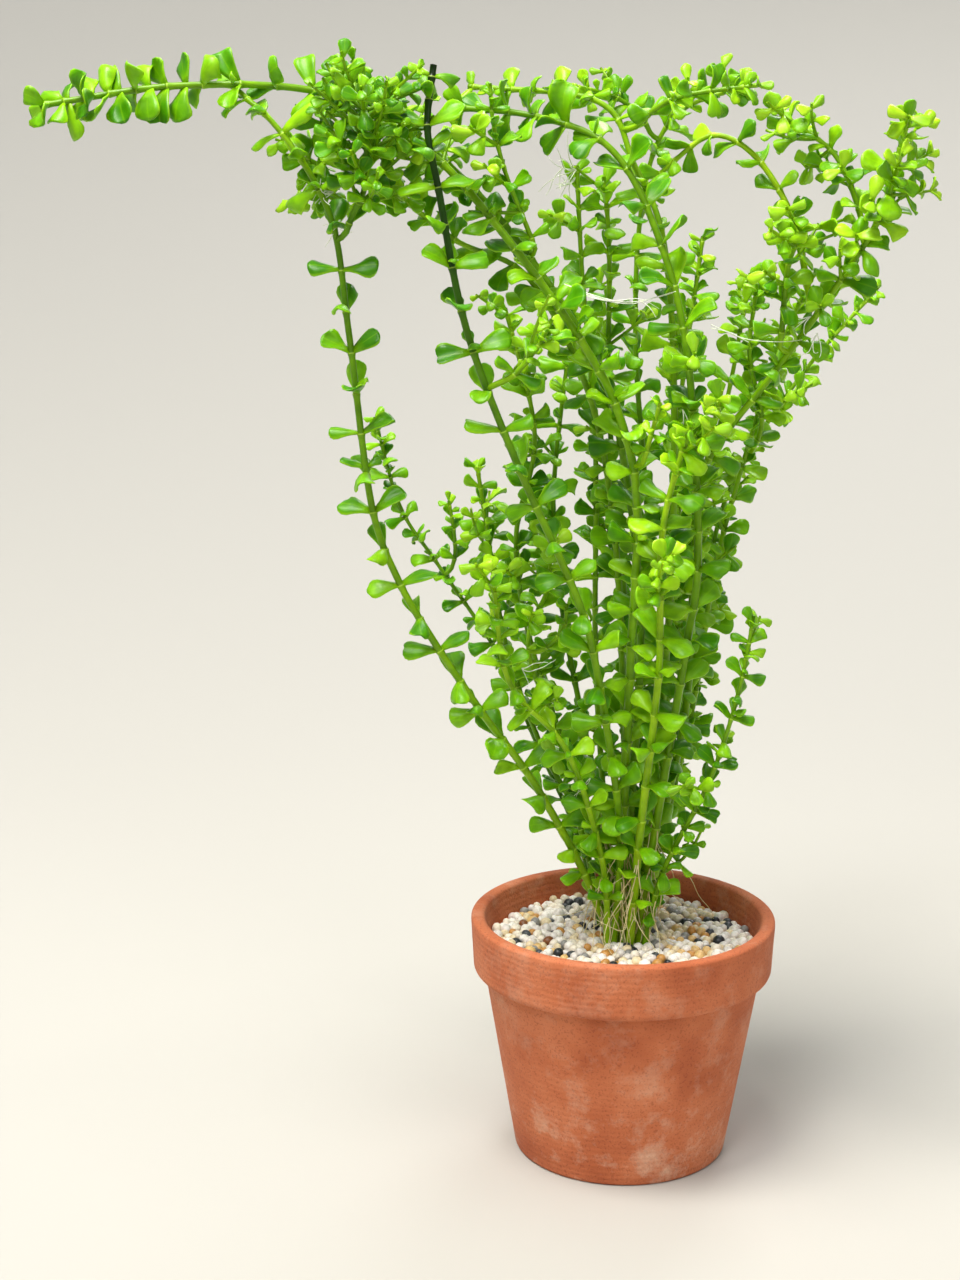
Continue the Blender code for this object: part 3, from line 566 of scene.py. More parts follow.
# The ways of holding a leaf that are tried in turn: more turn, more lift and the share of its length.
HOLDS = ((0, 0, 1), (18, 0, 1), (-18, 0, 1), (0, 22, 1), (0, -24, 1), (32, 14, 0.9), (-32, 14, 0.9),
         (0, 45, 0.85), (0, 0, 0.7))
LEAF_ROOT = 0.7


def settle_leaf(name, joint, quarter, draw):
    """The leaf in the first of these holds that touches nothing, or none."""
    centre, tangent, side, radius, length = joint
    turn, lift, stretch, droop, facing = draw
    toward_light = quarter_turned(side, quarter, tangent).dot(LIGHT_WAY)
    droop += LIGHT_DROOP * toward_light
    lift -= LIGHT_LIFT * toward_light
    faces = tangent + LIGHT_WAY * facing
    for more_turn, more_lift, less in HOLDS:
        way = Matrix.Rotation(quarter * math.pi / 2 + math.radians(turn + more_turn), 3, tangent) @ side
        raised = math.radians(lift + more_lift)
        way = (way * math.cos(raised) + tangent * math.sin(raised)).normalized()
        base = centre + way * radius * LEAF_ROOT
        leaf = Leaf(base, way, faces, length * stretch * less, math.radians(droop))
        points, whole = leaf.tree(True)
        if not crowd.touches(name, points, whole, leaf.tree(False)[1]):
            crowd.add(None, points, whole)
            return leaf
    return None


routes, radii = {}, {}
rows = {name: Row(*values) for name, values in STEMS.items()}
for name, row in rows.items():
    routes[name] = smooth_route(row.route)
    radii[name] = stem_radius(row, len(routes[name]))
part_routes(routes, radii, set(), 90)
for name, (parent, values) in SHOOTS.items():
    row = rows[name] = Row(*values)
    routes[name] = fork_route(row.route, routes[parent], radii[parent].max(), row.foot * 0.5 * MM)
    radii[name] = stem_radius(row, len(routes[name]))
part_routes(routes, radii, set(STEMS), 60)
crowd = Crowd()
for name in routes:
    crowd.add_tube(name, routes[name], radii[name])

YOUNG_END = 22 * MM
wanted, leaves, joints = [], {}, {}
for name, row in rows.items():
    rng = random.Random(name)
    frames = frames_along(routes[name], row.turns)
    places, along = joint_places(routes[name], row)
    leaves[name], joints[name] = [], []
    for number, place in enumerate(places):
        near_tip = min(1.0, (along[-1] - place) / YOUNG_END + 0.15)
        joint = joint_at(name, place, along, frames, row.leaf * MM * (0.5 + 0.5 * near_tip))
        joints[name].append((place, joint))
        for half in (0, 2):
            draw = (rng.uniform(-14, 14), rng.uniform(4, 42) + 28 * (1 - near_tip), rng.uniform(0.86, 1.12),
                    rng.uniform(0, 34), rng.uniform(0.5, 2.2))
            quarter = half + number % 2
            if number % row.sharing:
                wanted.append((name, joint, quarter, draw, 1 - near_tip))
                continue
            leaf = settle_leaf(name, joint, quarter, draw)
            if leaf:
                leaves[name].append((leaf, 1 - near_tip))

# Below the lowest counted pair the old leaves are smaller, and in many of the upper joints a bud has
# opened a pair of small leaves of its own. Out along the tail the pairs stand twice as close.
LOWEST_LEAF = 11 * MM
OLD_SPACING = 0.8
TAIL_START = -118 * MM
BARE_STEMS = ("stem_far_left", "stem_dark", "shoot_arch")
OPEN_STEMS = ("stem_floating_left", "stem_left_high", "stem_left_rising", "stem_right_bright",
              "stem_upright_right", "stem_centre_thin")
BUD_CHANCE, OPEN_BUD_CHANCE = 0.85, 0.3
for name, row in rows.items():
    rng = random.Random(name + " small leaves")
    frames = frames_along(routes[name], row.turns)
    along = lengths_along(routes[name])
    small = []
    if name in STEMS:
        place = joints[name][0][0] - row.spacing * OLD_SPACING * MM
        number = 1
        while place > LOWEST_LEAF:
            small += [(place, half + number % 2, rng.uniform(0.7, 0.95), 0.0) for half in (0, 2)]
            joints[name].append((place, None))
            place -= row.spacing * OLD_SPACING * MM
            number += 1
    bud_chance = OPEN_BUD_CHANCE if name in BARE_STEMS + OPEN_STEMS else BUD_CHANCE
    for number, (place, joint) in enumerate(joints[name]):
        if joint and joint[0].x < TAIL_START:
            upright = [abs(quarter_turned(joint[2], quarter, joint[1]).z) for quarter in (0, 1)]
            flat = upright.index(max(upright))
            middle = place + 0.42 * row.spacing * MM
            small += [(middle, half + flat, rng.uniform(0.9, 1.1), -4.0) for half in (0, 2)]
        elif joint and number and rng.random() < bud_chance:
            bud = place + 1.6 * MM
            small += [(bud, half + 1 + number % 2, rng.uniform(0.4, 0.8), 18.0) for half in (0, 2)]
    for place, quarter, size, more_lift in small:
        if place < along[-1]:
            joint = joint_at(name, place, along, frames, row.leaf * MM * size)
            draw = (rng.uniform(-25, 25), rng.uniform(6, 34) + more_lift, 1.0, rng.uniform(0, 34),
                    rng.uniform(0.5, 2.2))
            wanted.append((name, joint, quarter, draw, max(0.0, more_lift / 40)))

# Young twigs a centimetre or two long sprout from some joints, thickest where the stems cross and crowd
# near the top. One shoot is a ball of them, and the barest stems have none. Each twig carries a few close
# pairs of small pale leaves and hangs on its parent's piece.
CROWDS = [(Vector((-80, -20, 318)) * MM, 25 * MM, 0.75), (Vector((62, -12, 304)) * MM, 30 * MM, 0.9),
          (Vector((18, -28, 250)) * MM, 16 * MM, 0.3), (Vector((5, 45, 190)) * MM, 52 * MM, 0.35)]
OTHER_TWIGS, OPEN_TWIGS = 0.14, 0.03
TWIG_REACH = 4 * MM
TWIG_FOOT, TWIG_TIP = 1.25, 0.85
LEAFY_BALL = "shoot_clump"
twig_low, twig_high = np.array(cad_bounds[0]) - TWIG_REACH, np.array(cad_bounds[1]) + TWIG_REACH
twigs = {name: [] for name in rows}


def young_twig(name, joint, half, crowded, rng):
    """A twig from one side of a joint, clear of everything: its row, route, radii and number of pairs."""
    centre, tangent, side = joint[:3]
    ball = name == LEAFY_BALL
    for _ in range(9 if ball else 3):
        pairs = rng.choice((3, 4, 4, 5) if ball else (2, 2, 3, 3, 4))
        start_way = quarter_turned(side, half + rng.uniform(0.1, 0.9), tangent)
        wander = Vector((rng.uniform(-0.5, 0.5), rng.uniform(-0.7, 0.2), rng.uniform(-0.1, 0.9)))
        row = Row(TWIG_FOOT, TWIG_TIP, rng.uniform(3.8, 5.2), rng.uniform(5.2, 7.8) + crowded,
                  rng.uniform(0, 2), 0, 1, None)
        way = (start_way + tangent * rng.uniform(0.2, 1.0)).normalized()
        spots = [centre]
        for _ in range(int(pairs * row.spacing / 2) + 2):
            spots.append(spots[-1] + way * ROUTE_STEP)
            way = (way + wander * 0.12).normalized()
        route = np.array(spots)
        thin = stem_radius(row, len(route))
        free = Crowd()
        free.add_tube(name, route[2:], thin[2:])
        clear = (route > twig_low).all() and (route < twig_high).all()
        for low, high, (_, tree) in zip(free.lows, free.highs, free.things):
            clear = clear and not crowd.touches(None, (low, high), tree, tree)
        if clear:
            return row, route, thin, pairs
    return None


for name in [name for name in rows if name not in BARE_STEMS]:
    rng = random.Random(name + " twigs")
    ball = name == LEAFY_BALL
    for _, joint in joints[name][1:]:
        if not joint or joint[0].x < TAIL_START:
            continue
        crowded = [share for spot, reach, share in CROWDS if (spot - joint[0]).length < reach]
        chance = max(crowded + [OPEN_TWIGS if name in OPEN_STEMS else OTHER_TWIGS])
        for half in (0, 1, 2, 3) if ball else (0, 2):
            grown = rng.random() <= chance + ball and young_twig(name, joint, half, bool(crowded), rng)
            if not grown:
                continue
            row, route, thin, pairs = grown
            twig = f"{name} twig {len(twigs[name])}"
            twigs[name].append((route, thin))
            crowd.add_tube(twig, route, thin)
            leaves[twig] = leaves[name]
            tangents, sides = frames_along(route, row.turns)
            for number in range(pairs):
                index = min(len(route) - 1, 3 + int(number * row.spacing / 2))
                size = row.leaf * MM * (1.0 - 0.13 * number)
                knot = (Vector(route[index]), tangents[index], sides[index], float(thin[index]), size)
                youth = (0.3 + 0.7 * number / (pairs - 1)) * (1 - 0.5 * ball)
                for quarter in (number % 2, 2 + number % 2):
                    draw = (rng.uniform(-20, 20), rng.uniform(10, 50), rng.uniform(0.85, 1.1),
                            rng.uniform(0, 34), rng.uniform(0.5, 2.2))
                    wanted.append((twig, knot, quarter, draw, youth))
for name, joint, quarter, draw, youth in wanted:
    leaf = settle_leaf(name, joint, quarter, draw)
    if leaf:
        leaves[name].append((leaf, youth))

LEAF_HALF_THICKNESS = 0.34 * MM
LEAF_STEPS = 12
SMALL_LEAF = 6.0 * MM
TAIL_BREADTH = 1.25


def flat_leaf(faces_across, faces_along):
    """The flat, two-sided pattern that every leaf is bent from."""
    pattern = bmesh.new()
    bmesh.ops.create_grid(pattern, x_segments=faces_across, y_segments=faces_along, size=1.0)
    bmesh.ops.translate(pattern, verts=pattern.verts, vec=(0, 0, 1))
    under = bmesh.ops.extrude_face_region(pattern, geom=pattern.faces[:])["geom"]
    under = [v for v in under if isinstance(v, bmesh.types.BMVert)]
    bmesh.ops.translate(pattern, verts=under, vec=(0, 0, -2))
    bmesh.ops.recalc_face_normals(pattern, faces=pattern.faces)
    return mesh_of(pattern, "leaf_pattern")


large_leaf, small_leaf = flat_leaf(4, 6), flat_leaf(3, 4)
# Half-widths from foot to end, as shares of the widest: a spoon shape, and a wedge with a blunt end.
WIDTH_PLACES = (0, 0.10, 0.26, 0.44, 0.60, 0.75, 0.87, 0.96, 1.0)
SPOON = np.array((0.26, 0.30, 0.51, 0.79, 0.96, 1.0, 0.90))
WEDGE = np.array((0.25, 0.34, 0.52, 0.70, 0.86, 0.97, 1.0))


def add_leaf(shape, leaf, youth, tone, rng):
    """Bends a copy of the flat pattern into one thick leaf: narrow foot, round end, cupped or curled."""
    cup = rng.choice((rng.uniform(-0.9, -0.3), rng.uniform(-0.45, 0.15), rng.uniform(0.15, 0.65)))
    twist = rng.uniform(-0.8, 0.8)
    curl = leaf.droop * 1.25 + rng.uniform(-0.35, 0.65)
    notch = rng.choice((0.0, 0.0, 0.0, 0.09))
    wedge = rng.random()
    blunt = rng.uniform(0.40, 0.56) + 0.2 * wedge
    plump = rng.uniform(1.0, 1.3) * (TAIL_BREADTH if leaf.base.x < TAIL_START else 1.0)
    ruffle = rng.uniform(-0.22, 0.22)
    widths = [*(SPOON + (WEDGE - SPOON) * wedge), 0.45 + 0.55 * blunt, blunt]
    bends = -curl * np.clip((np.linspace(0, 1, LEAF_STEPS + 1) - 0.22) / 0.78, 0, 1) ** 1.2
    up = leaf.across.cross(leaf.direction).normalized()
    centres, ways, centre = [], [], leaf.base
    for angle in bends:
        way = leaf.direction * math.cos(angle) + up * math.sin(angle)
        centres.append(centre)
        ways.append(way)
        centre = centre + way * (leaf.length / LEAF_STEPS)
    tone_layer = shape.verts.layers.float["tone"]
    spot_layer = shape.verts.layers.float_vector["leaf_place"]
    count = len(shape.verts)
    shape.from_mesh(large_leaf if leaf.length > SMALL_LEAF else small_leaf)
    for vert in shape.verts[count:]:
        v, s = vert.co.x, vert.co.z
        u = 1 - (1 - (vert.co.y + 1) / 2) ** 1.35
        width = leaf.length * LEAF_WIDTH / 2 * plump * float(np.interp(u, WIDTH_PLACES, widths))
        pulled = u - 0.06 * v * v * max(0.0, (u - 0.7) / 0.3) - notch * (1 - abs(v)) * (u > 0.99)
        at = max(0.0, pulled) * LEAF_STEPS
        index = min(LEAF_STEPS - 1, int(at))
        way = ways[index]
        middle = centres[index] + way * (leaf.length / LEAF_STEPS * (at - index))
        turned = Matrix.Rotation(twist * u * u, 3, way) @ leaf.across
        normal = turned.cross(way).normalized()
        thick = LEAF_HALF_THICKNESS * (1 - 0.45 * v * v) * (1.25 - 0.4 * u)
        hollow = (cup * v * v + ruffle * v * math.sin(7 * u)) * width * min(1.0, u * 2)
        vert.co = middle + turned * (v * width) + normal * (s * thick + hollow)
        vert[tone_layer] = tone
        vert[spot_layer] = (v * 0.5 + 0.5, u, youth)


RING_STEP = 2.2 * MM
# How full the stem is round a joint, at distances from its middle in millimetres.
JOINT_SHAPE = ((-2.0, 1.0), (-1.1, 1.09), (-0.4, 1.22), (0.0, 1.24), (0.16, 1.02), (0.8, 1.0), (1.7, 0.97))


def stem_rings(name):
    """The rings that the stem is drawn through: place, frame, radius, joint mark, share of the way to
    the next joint. It is fuller at each joint."""
    route = routes[name]
    if name in SHOOTS:
        parent = routes[SHOOTS[name][0]]
        entry = np.linspace(parent[nearest_point(parent, route[0])], route[0], 4)[:-1]
    else:
        entry = [route[0] - (route[1] - route[0]) * 3]
    root = len(entry)
    route = np.vstack([entry, route])
    along = lengths_along(route)
    stations = {round(p, 5): 1.0 for p in np.arange(0.0, along[-1], RING_STEP)}
    marks = [place + along[root] for place, _ in joints[name]]
    for middle in marks:
        stations = {p: f for p, f in stations.items() if abs(p - middle) > 1.9 * MM}
        stations.update({middle + shift * MM: fullness for shift, fullness in JOINT_SHAPE})
    tangents, sides = frames_along(route, 0.0)
    tube = np.interp(along, along[root:], radii[name])
    knots = np.array([-20 * MM] + sorted(marks) + [along[-1] + 8 * MM])
    rings = []
    for place in sorted(p for p in stations if 0 <= p <= along[-1]):
        index = min(int(np.interp(place, along, np.arange(len(along))) + 0.5), len(along) - 1)
        radius = float(np.interp(place, along, tube)) * stations[place]
        over = int(np.searchsorted(knots, place))
        between = (place - knots[over - 1]) / (knots[over] - knots[over - 1])
        rings.append((spot_at(place, along, route), tangents[index], sides[index], radius,
                      float(place in marks), between))
    return rings


def tone_at(tones, share):
    """A stem's tone at a share of its way from foot to tip."""
    return float(np.interp(share, *zip(*tones)))


def green_shape():
    """An empty shape whose points carry a tone of green and a place on the leaf or stem."""
    shape = bmesh.new()
    shape.verts.layers.float.new("tone")
    shape.verts.layers.float_vector.new("leaf_place")
    return shape


def add_stem(shape, rings, tones):
    """Draws a round stem from its foot through every ring, and closes its tip."""
    sides_round = 9
    tone_layer = shape.verts.layers.float["tone"]
    spot_layer = shape.verts.layers.float_vector["leaf_place"]
    bmesh.ops.create_circle(shape, cap_ends=True, radius=MM, segments=sides_round)
    shape.verts.ensure_lookup_table()
    loop = shape.verts[-sides_round:]
    for number, (centre, tangent, side, radius, mark, between) in enumerate(rings):
        if number:
            edges = [shape.edges.get((loop[i], loop[(i + 1) % sides_round])) for i in range(sides_round)]
            out = bmesh.ops.extrude_edge_only(shape, edges=edges)
            fresh = set(v for v in out["geom"] if isinstance(v, bmesh.types.BMVert))
            loop = [next(e.other_vert(v) for e in v.link_edges if e.other_vert(v) in fresh) for v in loop]
        tone = tone_at(tones, number / (len(rings) - 1))
        other = tangent.cross(side)
        for i, vert in enumerate(loop):
            angle = 2 * math.pi * i / sides_round
            vert.co = centre + (side * math.cos(angle) + other * math.sin(angle)) * radius
            vert[tone_layer] = tone
            vert[spot_layer] = (i / sides_round, between, mark)
    shape.faces.new(loop)


# What each stem's green is, from dark olive at 0 to pale lime at 1, at shares of its way from foot to tip.
# Part of it is painted shade, not the stem's own colour.
TONES = {
    # The top of stem_dark fades to near black: painted shade cast by the growth above it.
    "stem_dark": ((0, 0.78), (0.2, 0.70), (0.5, 0.66), (0.68, 0.48), (0.8, 0.20), (1, 0.05)),
    "stem_far_left": ((0, 0.84), (0.25, 0.76), (0.45, 0.68), (0.6, 0.60), (0.8, 0.50), (0.84, 0.70),
                      (1, 0.74)),
    "stem_floating_left": ((0, 0.76), (1, 0.62)),
    "stem_right_bright": ((0, 0.80), (0.3, 0.66), (1, 0.60)),
    "stem_front_bright": ((0, 0.84), (1, 0.90)),
    "stem_left_front": ((0, 0.78), (1, 0.84)),
    "stem_rear_left": ((0, 0.45), (1, 0.62)),
    "stem_left_bowed": ((0, 0.66), (1, 0.76)),
    "stem_left_high": ((0, 0.76), (0.3, 0.62), (0.7, 0.58), (1, 0.34)),
    "stem_right_front": ((0, 0.60), (1, 0.66)),
    "shoot_pale": ((0, 0.82), (1, 0.95)),
    "shoot_clump": ((0, 0.50), (1, 0.60)),
    "shoot_rosette": ((0, 0.76), (1, 0.90)),
    "shoot_arch": ((0, 0.96), (0.7, 0.94), (1, 0.80)),
}
# The rear stems are painted darker in the middle, where they stand deep in the plant's shade, and paler at
# the top.
REAR_TONES = ((0, 0.64), (0.35, 0.54), (0.6, 0.62), (1, 0.84))
OTHER_TONES = ((0, 0.80), (0.25, 0.66), (1, 0.76))
DULLEST_LEAF = 0.60
BRIGHTEST_LEAF = 0.76
# Twigs all take one fixed point of the painted shade along each length of stem.
TWIG_MARK = 0.6

# Greens from the darkest, oldest growth to the palest, youngest. The darker greens also serve as painted
# shade on shaded stems and their leaves.
LEAF_GREENS = ("#0E3A04", "#286802", "#4C9202", "#7ABA06", "#AADC18")
STEM_GREENS = ("#0A1C02", "#2B5402", "#608E04", "#8CB80A", "#B4D61C")


def bacopa_skin(name, leaf):
    """Living leaf or stem: a waxy skin over wet green cells, so it is glossy, and a leaf glows a little."""
    material, add, shader = new_material(name)
    tone = add("Attribute", {}, "Fac", attribute_name="tone")
    spot = add("Attribute", {}, "Vector", attribute_name="leaf_place")
    across, along, age = add("SeparateXYZ", {"Vector": spot}).node.outputs
    place = add("TexCoord", {}, "Object")
    codes = LEAF_GREENS if leaf else STEM_GREENS
    green = add("ValToRGB", {"Fac": tone}, stops=list(zip((0.0, 0.25, 0.5, 0.75, 1.0), codes)))
    cells = add("TexNoise", {"Vector": place, "Scale": 260.0, "Detail": 2.0})
    patch = add("ValToRGB", {"Fac": cells}, stops=[(0.30, "#AEC46A"), (0.58, "#FFFFFF")])
    colour = add("Mix", {0: 0.55, 6: green, 7: patch}, **TINT)
    if leaf:
        # A leaf is paler at its foot and along its midrib, and its paler rim is painted light shining
        # through the thin edge.
        off_middle = add("Math", {0: across, 1: 0.5}, operation="SUBTRACT")
        sideways = add("Math", {0: off_middle}, operation="ABSOLUTE")
        painted_rim_light = add("MapRange", {"Value": sideways, "From Min": 0.40, "From Max": 0.5, "To Max": 0.55})
        foot = add("MapRange", {"Value": along, "From Max": 0.45, "To Min": 0.5, "To Max": 0.0})
        rib = add("MapRange", {"Value": sideways, "From Max": 0.05, "To Min": 0.22, "To Max": 0.0})
        paler = add("Math", {0: painted_rim_light, 1: foot}, operation="MAXIMUM")
        paler = add("Math", {0: paler, 1: rib}, operation="MAXIMUM")
        colour = add("Mix", {0: paler, 6: colour, 7: "#A2D812"}, **COVER)
        newest = add("MapRange", {"Value": age, "From Min": 0.5, "To Max": 0.28})
        colour = add("Mix", {0: newest, 6: colour, 7: "#B6DE34"}, **COVER)
    else:
        turns = add("Math", {0: across, 1: 36 * math.pi}, operation="MULTIPLY")
        ridges = add("Math", {0: turns}, operation="SINE")
        streak = add("MapRange", {"Value": ridges, "From Min": -1.0, "To Max": 0.35})
        colour = add("Mix", {0: streak, 6: colour, 7: "#A9D028"}, 2, data_type="RGBA",
                     blend_type="SOFT_LIGHT")
        # Painted shade along each length of stem: darkest just above the lower joint, palest just under the
        # upper one.
        internode_shading = add("ValToRGB", {"Fac": along},
                        stops=[(0.0, "#A8B87C"), (0.4, "#D8E2BC"), (0.85, "#FFFFFF")])
        colour = add("Mix", {0: 0.65, 6: colour, 7: internode_shading}, **TINT)
        rim = add("Math", {0: age, 1: 0.6}, operation="MULTIPLY")
        colour = add("Mix", {0: rim, 6: colour, 7: "#BCDC50"}, **COVER)
    wire(shader, {
        "Base Color": colour,
        "Roughness": add("MapRange", {"Value": cells, "To Min": 0.24, "To Max": 0.44}),
        "Normal": add("Bump", {"Height": cells, "Distance": 0.12 * MM, "Strength": 0.35}),
        "IOR": 1.42, "Specular IOR Level": 0.32, "Subsurface Weight": 0.25 if leaf else 0.0,
        "Subsurface Radius": (0.6, 1.0, 0.15), "Subsurface Scale": 0.9 * MM})
    return material


stem_skin = bacopa_skin("bacopa stem skin", False)
leaf_skin = bacopa_skin("bacopa leaf skin", True)
for name in rows:
    rng = random.Random(name + " looks")
    tones = TONES.get(name, REAR_TONES if "rear" in name else OTHER_TONES)
    twig_tones = ((0, tones[-1][1] * 0.5 + 0.3), (1, tones[-1][1] * 0.4 + 0.5))
    shape = green_shape()
    add_stem(shape, stem_rings(name), tones)
    for route, thin in twigs[name]:
        rings = [(Vector(spot), way, side, float(radius), 0.0, TWIG_MARK)
                 for spot, way, side, radius in zip(route, *frames_along(route, 0.0), thin)]
        add_stem(shape, rings, twig_tones)
    set_piece(name + "_skin", mesh_of(shape, name + "_skin"), stem_skin, name)
    shape = green_shape()
    for leaf, youth in leaves[name]:
        # A leaf takes its stem's tone at that point, painted shade included, held between DULLEST_LEAF and
        # BRIGHTEST_LEAF, then varies at random and pales with youth.
        share = nearest_point(routes[name], leaf.base) / len(routes[name])
        tone = min(BRIGHTEST_LEAF, max(DULLEST_LEAF, tone_at(tones, share)))
        tone += rng.uniform(-0.24, 0.2) + 0.12 * youth
        add_leaf(shape, leaf, youth, min(1.0, max(0.0, tone)), rng)
    set_piece(name + "_leaves", mesh_of(shape, name + "_leaves"), leaf_skin)

# Loose grains lie over the bed, each resting among its neighbours and clear of the stems.
grain_pattern = bmesh.new()
bmesh.ops.create_icosphere(grain_pattern, subdivisions=2, radius=1.0)
grain_mesh = mesh_of(grain_pattern, "grain_pattern")
grains = bmesh.new()
grain_shade = grains.verts.layers.float.new("shade")
rng = random.Random(5)
feet = [(routes[name][0], radii[name][0]) for name in STEMS]
GRAIN_STEP, ROW_STEP, ROWS_EACH_WAY = 1.06, 0.92, 20
# How deep under the gravel's level each layer lies, in millimetres, and its shift in grains.
GRAIN_LAYERS = ((2.4, 0.0), (0.5, 0.5))
spots = []
for drop, spread in GRAIN_LAYERS:
    for i in range(-ROWS_EACH_WAY, ROWS_EACH_WAY + 1):
        for j in range(-ROWS_EACH_WAY, ROWS_EACH_WAY + 1):
            x = (i + 0.5 * (j % 2) + spread) * GRAIN_SIZE * GRAIN_STEP + rng.uniform(-0.6, 0.6) * MM
            y = (j + spread) * (GRAIN_SIZE * ROW_STEP) + rng.uniform(-0.6, 0.6) * MM
            if math.hypot(x, y) < BED_RADIUS - 1.2 * MM:
                spots.append((x, y, GRAVEL_LEVEL - drop * MM + rng.uniform(-0.7, 0.6) * MM))
for x, y, z in spots:
    size = GRAIN_SIZE / 2 * rng.uniform(0.88, 1.26)
    if any(math.hypot(x - foot[0], y - foot[1]) < radius + size * 0.55 for foot, radius in feet):
        continue
    count = len(grains.verts)
    grains.from_mesh(grain_mesh)
    axes = [size * rng.uniform(0.82, 1.15) for _ in range(3)]
    angle = rng.uniform(0, 6.28)
    turn = Matrix.Rotation(angle, 3, Vector([rng.uniform(-1, 1) for _ in range(3)]))
    bumps = [(Vector([rng.gauss(0, 1) for _ in range(3)]).normalized(), rng.uniform(-0.1, 0.1))
             for _ in range(3)]
    shade = rng.random()
    for vert in grains.verts[count:]:
        swell = 1 + sum(amount * max(0.0, vert.co.dot(way)) ** 2 for way, amount in bumps)
        vert.co = turn @ Vector([c * a * swell for c, a in zip(vert.co, axes)]) + Vector((x, y, z))
        vert[grain_shade] = shade
grain_skin = quartz("tumbled quartz gravel", 0.5)
set_piece("gravel_grains", mesh_of(grains, "gravel_grains"), grain_skin)

# Hair roots grow straight out of the joints: a few white ones cross the open stems near the top, and
# a tuft of fine straw-coloured ones hangs round the feet of the stems. They are soft and thread-thin.
CROSSING_ROOTS = [
    [(-22, -24, 213), (-12, -28, 209.5), (-2, -29, 208), (11, -27, 211)],
    [(-22, -24, 212), (-13, -29, 209), (-3, -30, 207.5), (2, -29, 208.5), (10, -27, 210.5)],
    [(-20, -25, 211.5), (-9, -30, 208.5), (0, -30, 209), (6, -28, 206)],
    [(0, -29, 208.5), (3, -30, 206.5), (5, -30, 203.5)],
    [(24, -6, 200), (34, -9, 196), (45, -9, 195), (55, -8, 196)],
    [(24, -7, 199), (29, -10, 198), (35, -11, 195)],
]
# Where loose wisps of root set out, in millimetres from the middle of the gravel, the way they go,
# how many there are and how long they are.
WISPS = [((-17, 11, 247), (-1.0, -0.5, -0.1), 6, 15), ((-17, 12, 245), (-0.8, -0.3, -1.0), 5, 13),
         ((-18, 11, 248), (-1.0, -0.2, 0.7), 3, 17), ((54, -9, 203), (-0.9, -0.4, -0.5), 4, 9),
         ((56, -10, 198), (-0.3, -0.3, -1.0), 4, 11), ((-90, -27, 240), (-1.0, -0.1, -0.1), 7, 12),
         ((-88, -28, 232), (-0.9, -0.2, -0.8), 5, 10), ((-34, -23, 96), (0.9, -0.5, -0.4), 3, 12),
         ((-12, -14, 58), (-0.2, -0.6, -0.8), 4, 12), ((14, -24, 176), (0.5, -0.5, -0.4), 3, 10)]
WISP_STEP = 1.0 * MM


def wisp(start, way, length, curl, rng):
    """A root's wandering line: it sets out one way, curls, and slowly sinks."""
    spots, bend = [Vector(start)], Vector()
    way = Vector(way) + Vector([rng.uniform(-4.0, 4.0) * curl for _ in range(3)])
    for _ in range(int(length / WISP_STEP)):
        bend = bend * 0.85 + Vector([rng.gauss(0, curl) for _ in range(3)])
        way = (way + bend + Vector((0, 0, -0.05))).normalized()
        spots.append(spots[-1] + way * WISP_STEP)
        if spots[-1].z < GRAVEL_LEVEL:
            break
    return spots


def strands(name, lines, thickness, material):
    """Thread-thin roots, each tapering along a smooth line, as one piece."""
    curve = bpy.data.curves.new(name, "CURVE")
    curve.dimensions = "3D"
    curve.bevel_depth = thickness / 2
    curve.bevel_resolution = 1
    curve.use_fill_caps = True
    for line in lines:
        spline = curve.splines.new("POLY")
        spline.points.add(len(line) - 1)
        for number, (point, spot) in enumerate(zip(spline.points, line)):
            point.co = (*spot, 1.0)
            point.radius = 1.0 - 0.6 * number / len(line)
    holder = put_in_scene(name, curve)
    evaluated = holder.evaluated_get(bpy.context.evaluated_depsgraph_get())
    mesh = bpy.data.meshes.new_from_object(evaluated)
    bpy.data.objects.remove(holder)
    bpy.data.curves.remove(curve)
    mesh.materials.clear()
    mesh.shade_smooth()
    set_piece(name, mesh, material)


def root_skin(name, dull, bright, roughness):
    """Young root: a thin wet skin with no chlorophyll, a little uneven in colour."""
    material, add, shader = new_material(name)
    place = add("TexCoord", {}, "Object")
    fine = add("TexNoise", {"Vector": place, "Scale": 500.0, "Detail": 3.0})
    tint = add("ValToRGB", {"Fac": fine}, stops=[(0.3, dull), (0.7, bright)])
    wire(shader, {"Base Color": tint, "Roughness": roughness})
    return material


rng = random.Random(3)
white_roots = [smooth_route(line) for line in CROSSING_ROOTS]
for (x, y, z), way, number, length in WISPS:
    for _ in range(number):
        start = (x * MM, y * MM, z * MM + GRAVEL_LEVEL)
        white_roots.append(wisp(start, way, rng.uniform(0.6, 1.1) * length * MM, 0.13, rng))
strands("aerial_roots", white_roots, 0.38 * MM, root_skin("white root", "#CFD6B4", "#F6F8EE", 0.4))

TUFT_REACH = 15 * MM
TUFT_DRAWS = 230
rng = random.Random(9)
straw_roots = []
for _ in range(TUFT_DRAWS):
    route = routes[rng.choice(list(STEMS))]
    height = rng.uniform(4, 44) * MM
    foot = Vector(route[np.abs(route[:, 2] - GRAVEL_LEVEL - height).argmin()])
    if math.hypot(foot.x, foot.y) > TUFT_REACH:
        continue
    angle = rng.gauss(-math.pi / 2, 1.2)
    outward = Vector((math.cos(angle), math.sin(angle), 0.0))
    inward = Vector((-foot.x, -foot.y, 0.0)) / (foot.z - GRAVEL_LEVEL + 8 * MM)
    straw_roots.append(wisp(foot + outward * 1.4 * MM, outward * 0.35 + inward * 0.9 + Vector((0, 0, -1.6)),
                            rng.uniform(12, 44) * MM, 0.035, rng))
strands("foot_roots", straw_roots, 0.42 * MM, root_skin("straw root", "#C8B870", "#EEE4B8", 0.5))

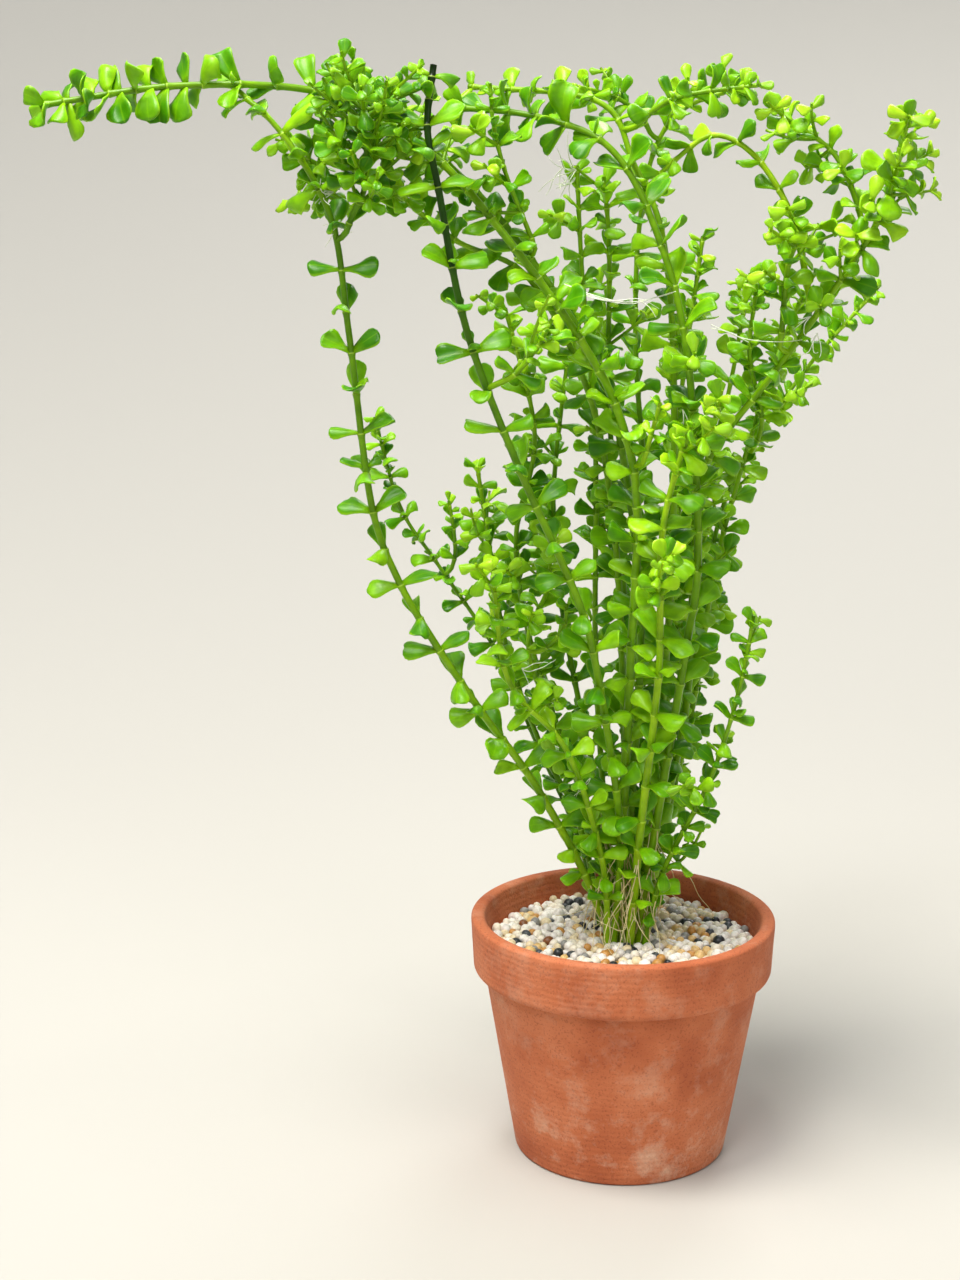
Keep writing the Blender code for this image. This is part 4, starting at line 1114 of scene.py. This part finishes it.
# The studio is one sheet of pale paper, flat under the pot and swept up all round, in soft light.
# It is seen from the photograph's side and height.
FLAT_RADIUS = 0.5
SWEEP = 2.2
WALL_TOP = 2.3
sweep_angles = np.linspace(0, math.pi / 2, 46)
sweep = [(FLAT_RADIUS + SWEEP * math.sin(a), SWEEP * (1 - math.cos(a))) for a in sweep_angles]
paper_shape = turn_round([(0.0, 0.0), *sweep, (FLAT_RADIUS + SWEEP, WALL_TOP)], 144, MM)
floor = put_in_scene("floor", mesh_of(paper_shape, "floor"))
paper, _, paper_shader = new_material("matt studio paper")
wire(paper_shader, {"Base Color": "#B8B6B0", "Roughness": 0.9})
floor.data.materials.append(paper)


def look(thing, way):
    """Turns a light or the camera to look one way."""
    thing.rotation_euler = way.to_track_quat("-Z", "Y").to_euler()


def soft_light(name, place, aim, size, power, code):
    """A large square light turned to face a point."""
    data = bpy.data.lights.new(name, "AREA")
    data.size = size
    data.energy = power
    data.color = linear(code)[:3]
    light = put_in_scene(name, data)
    light.location = place
    light.visible_camera = False
    look(light, Vector(aim) - Vector(place))


crown = (-0.03, 0.0, 0.22)
soft_light("overhead", (-0.35, -0.25, 1.5), crown, 0.60, 30.0, "#FFFBF2")
soft_light("front", (0.8, -1.5, 1.25), crown, 0.8, 5.1, "#FFFFFF")
soft_light("back", (0.5, 1.3, 1.5), crown, 0.7, 11.4, "#FFFFFF")
sky = bpy.data.lights.new("window", "SUN")
sky.energy = 1.15
sky.angle = math.radians(20)
look(put_in_scene("window", sky), Vector((0.35, 0.75, -1.0)))
world = bpy.data.worlds.new("pale room")
bpy.context.scene.world = world
world.use_nodes = True
wire(world.node_tree.nodes["Background"], {"Color": "#F2F4F6", "Strength": 0.42})
bpy.context.scene.view_settings.view_transform = "Standard"

EYE = Vector((-47 * MM, -640 * MM, 309 * MM))
VIEW_MIDDLE = Vector((-47 * MM, 0.0, 172 * MM))
FRAME_HEIGHT = 410 * MM
camera_data = bpy.data.cameras.new("camera")
camera_data.sensor_fit = "VERTICAL"
camera_data.angle = 2 * math.atan(FRAME_HEIGHT / 2 / (VIEW_MIDDLE - EYE).length)
camera = put_in_scene("camera", camera_data)
camera.location = EYE
look(camera, VIEW_MIDDLE - EYE)
bpy.context.scene.camera = camera
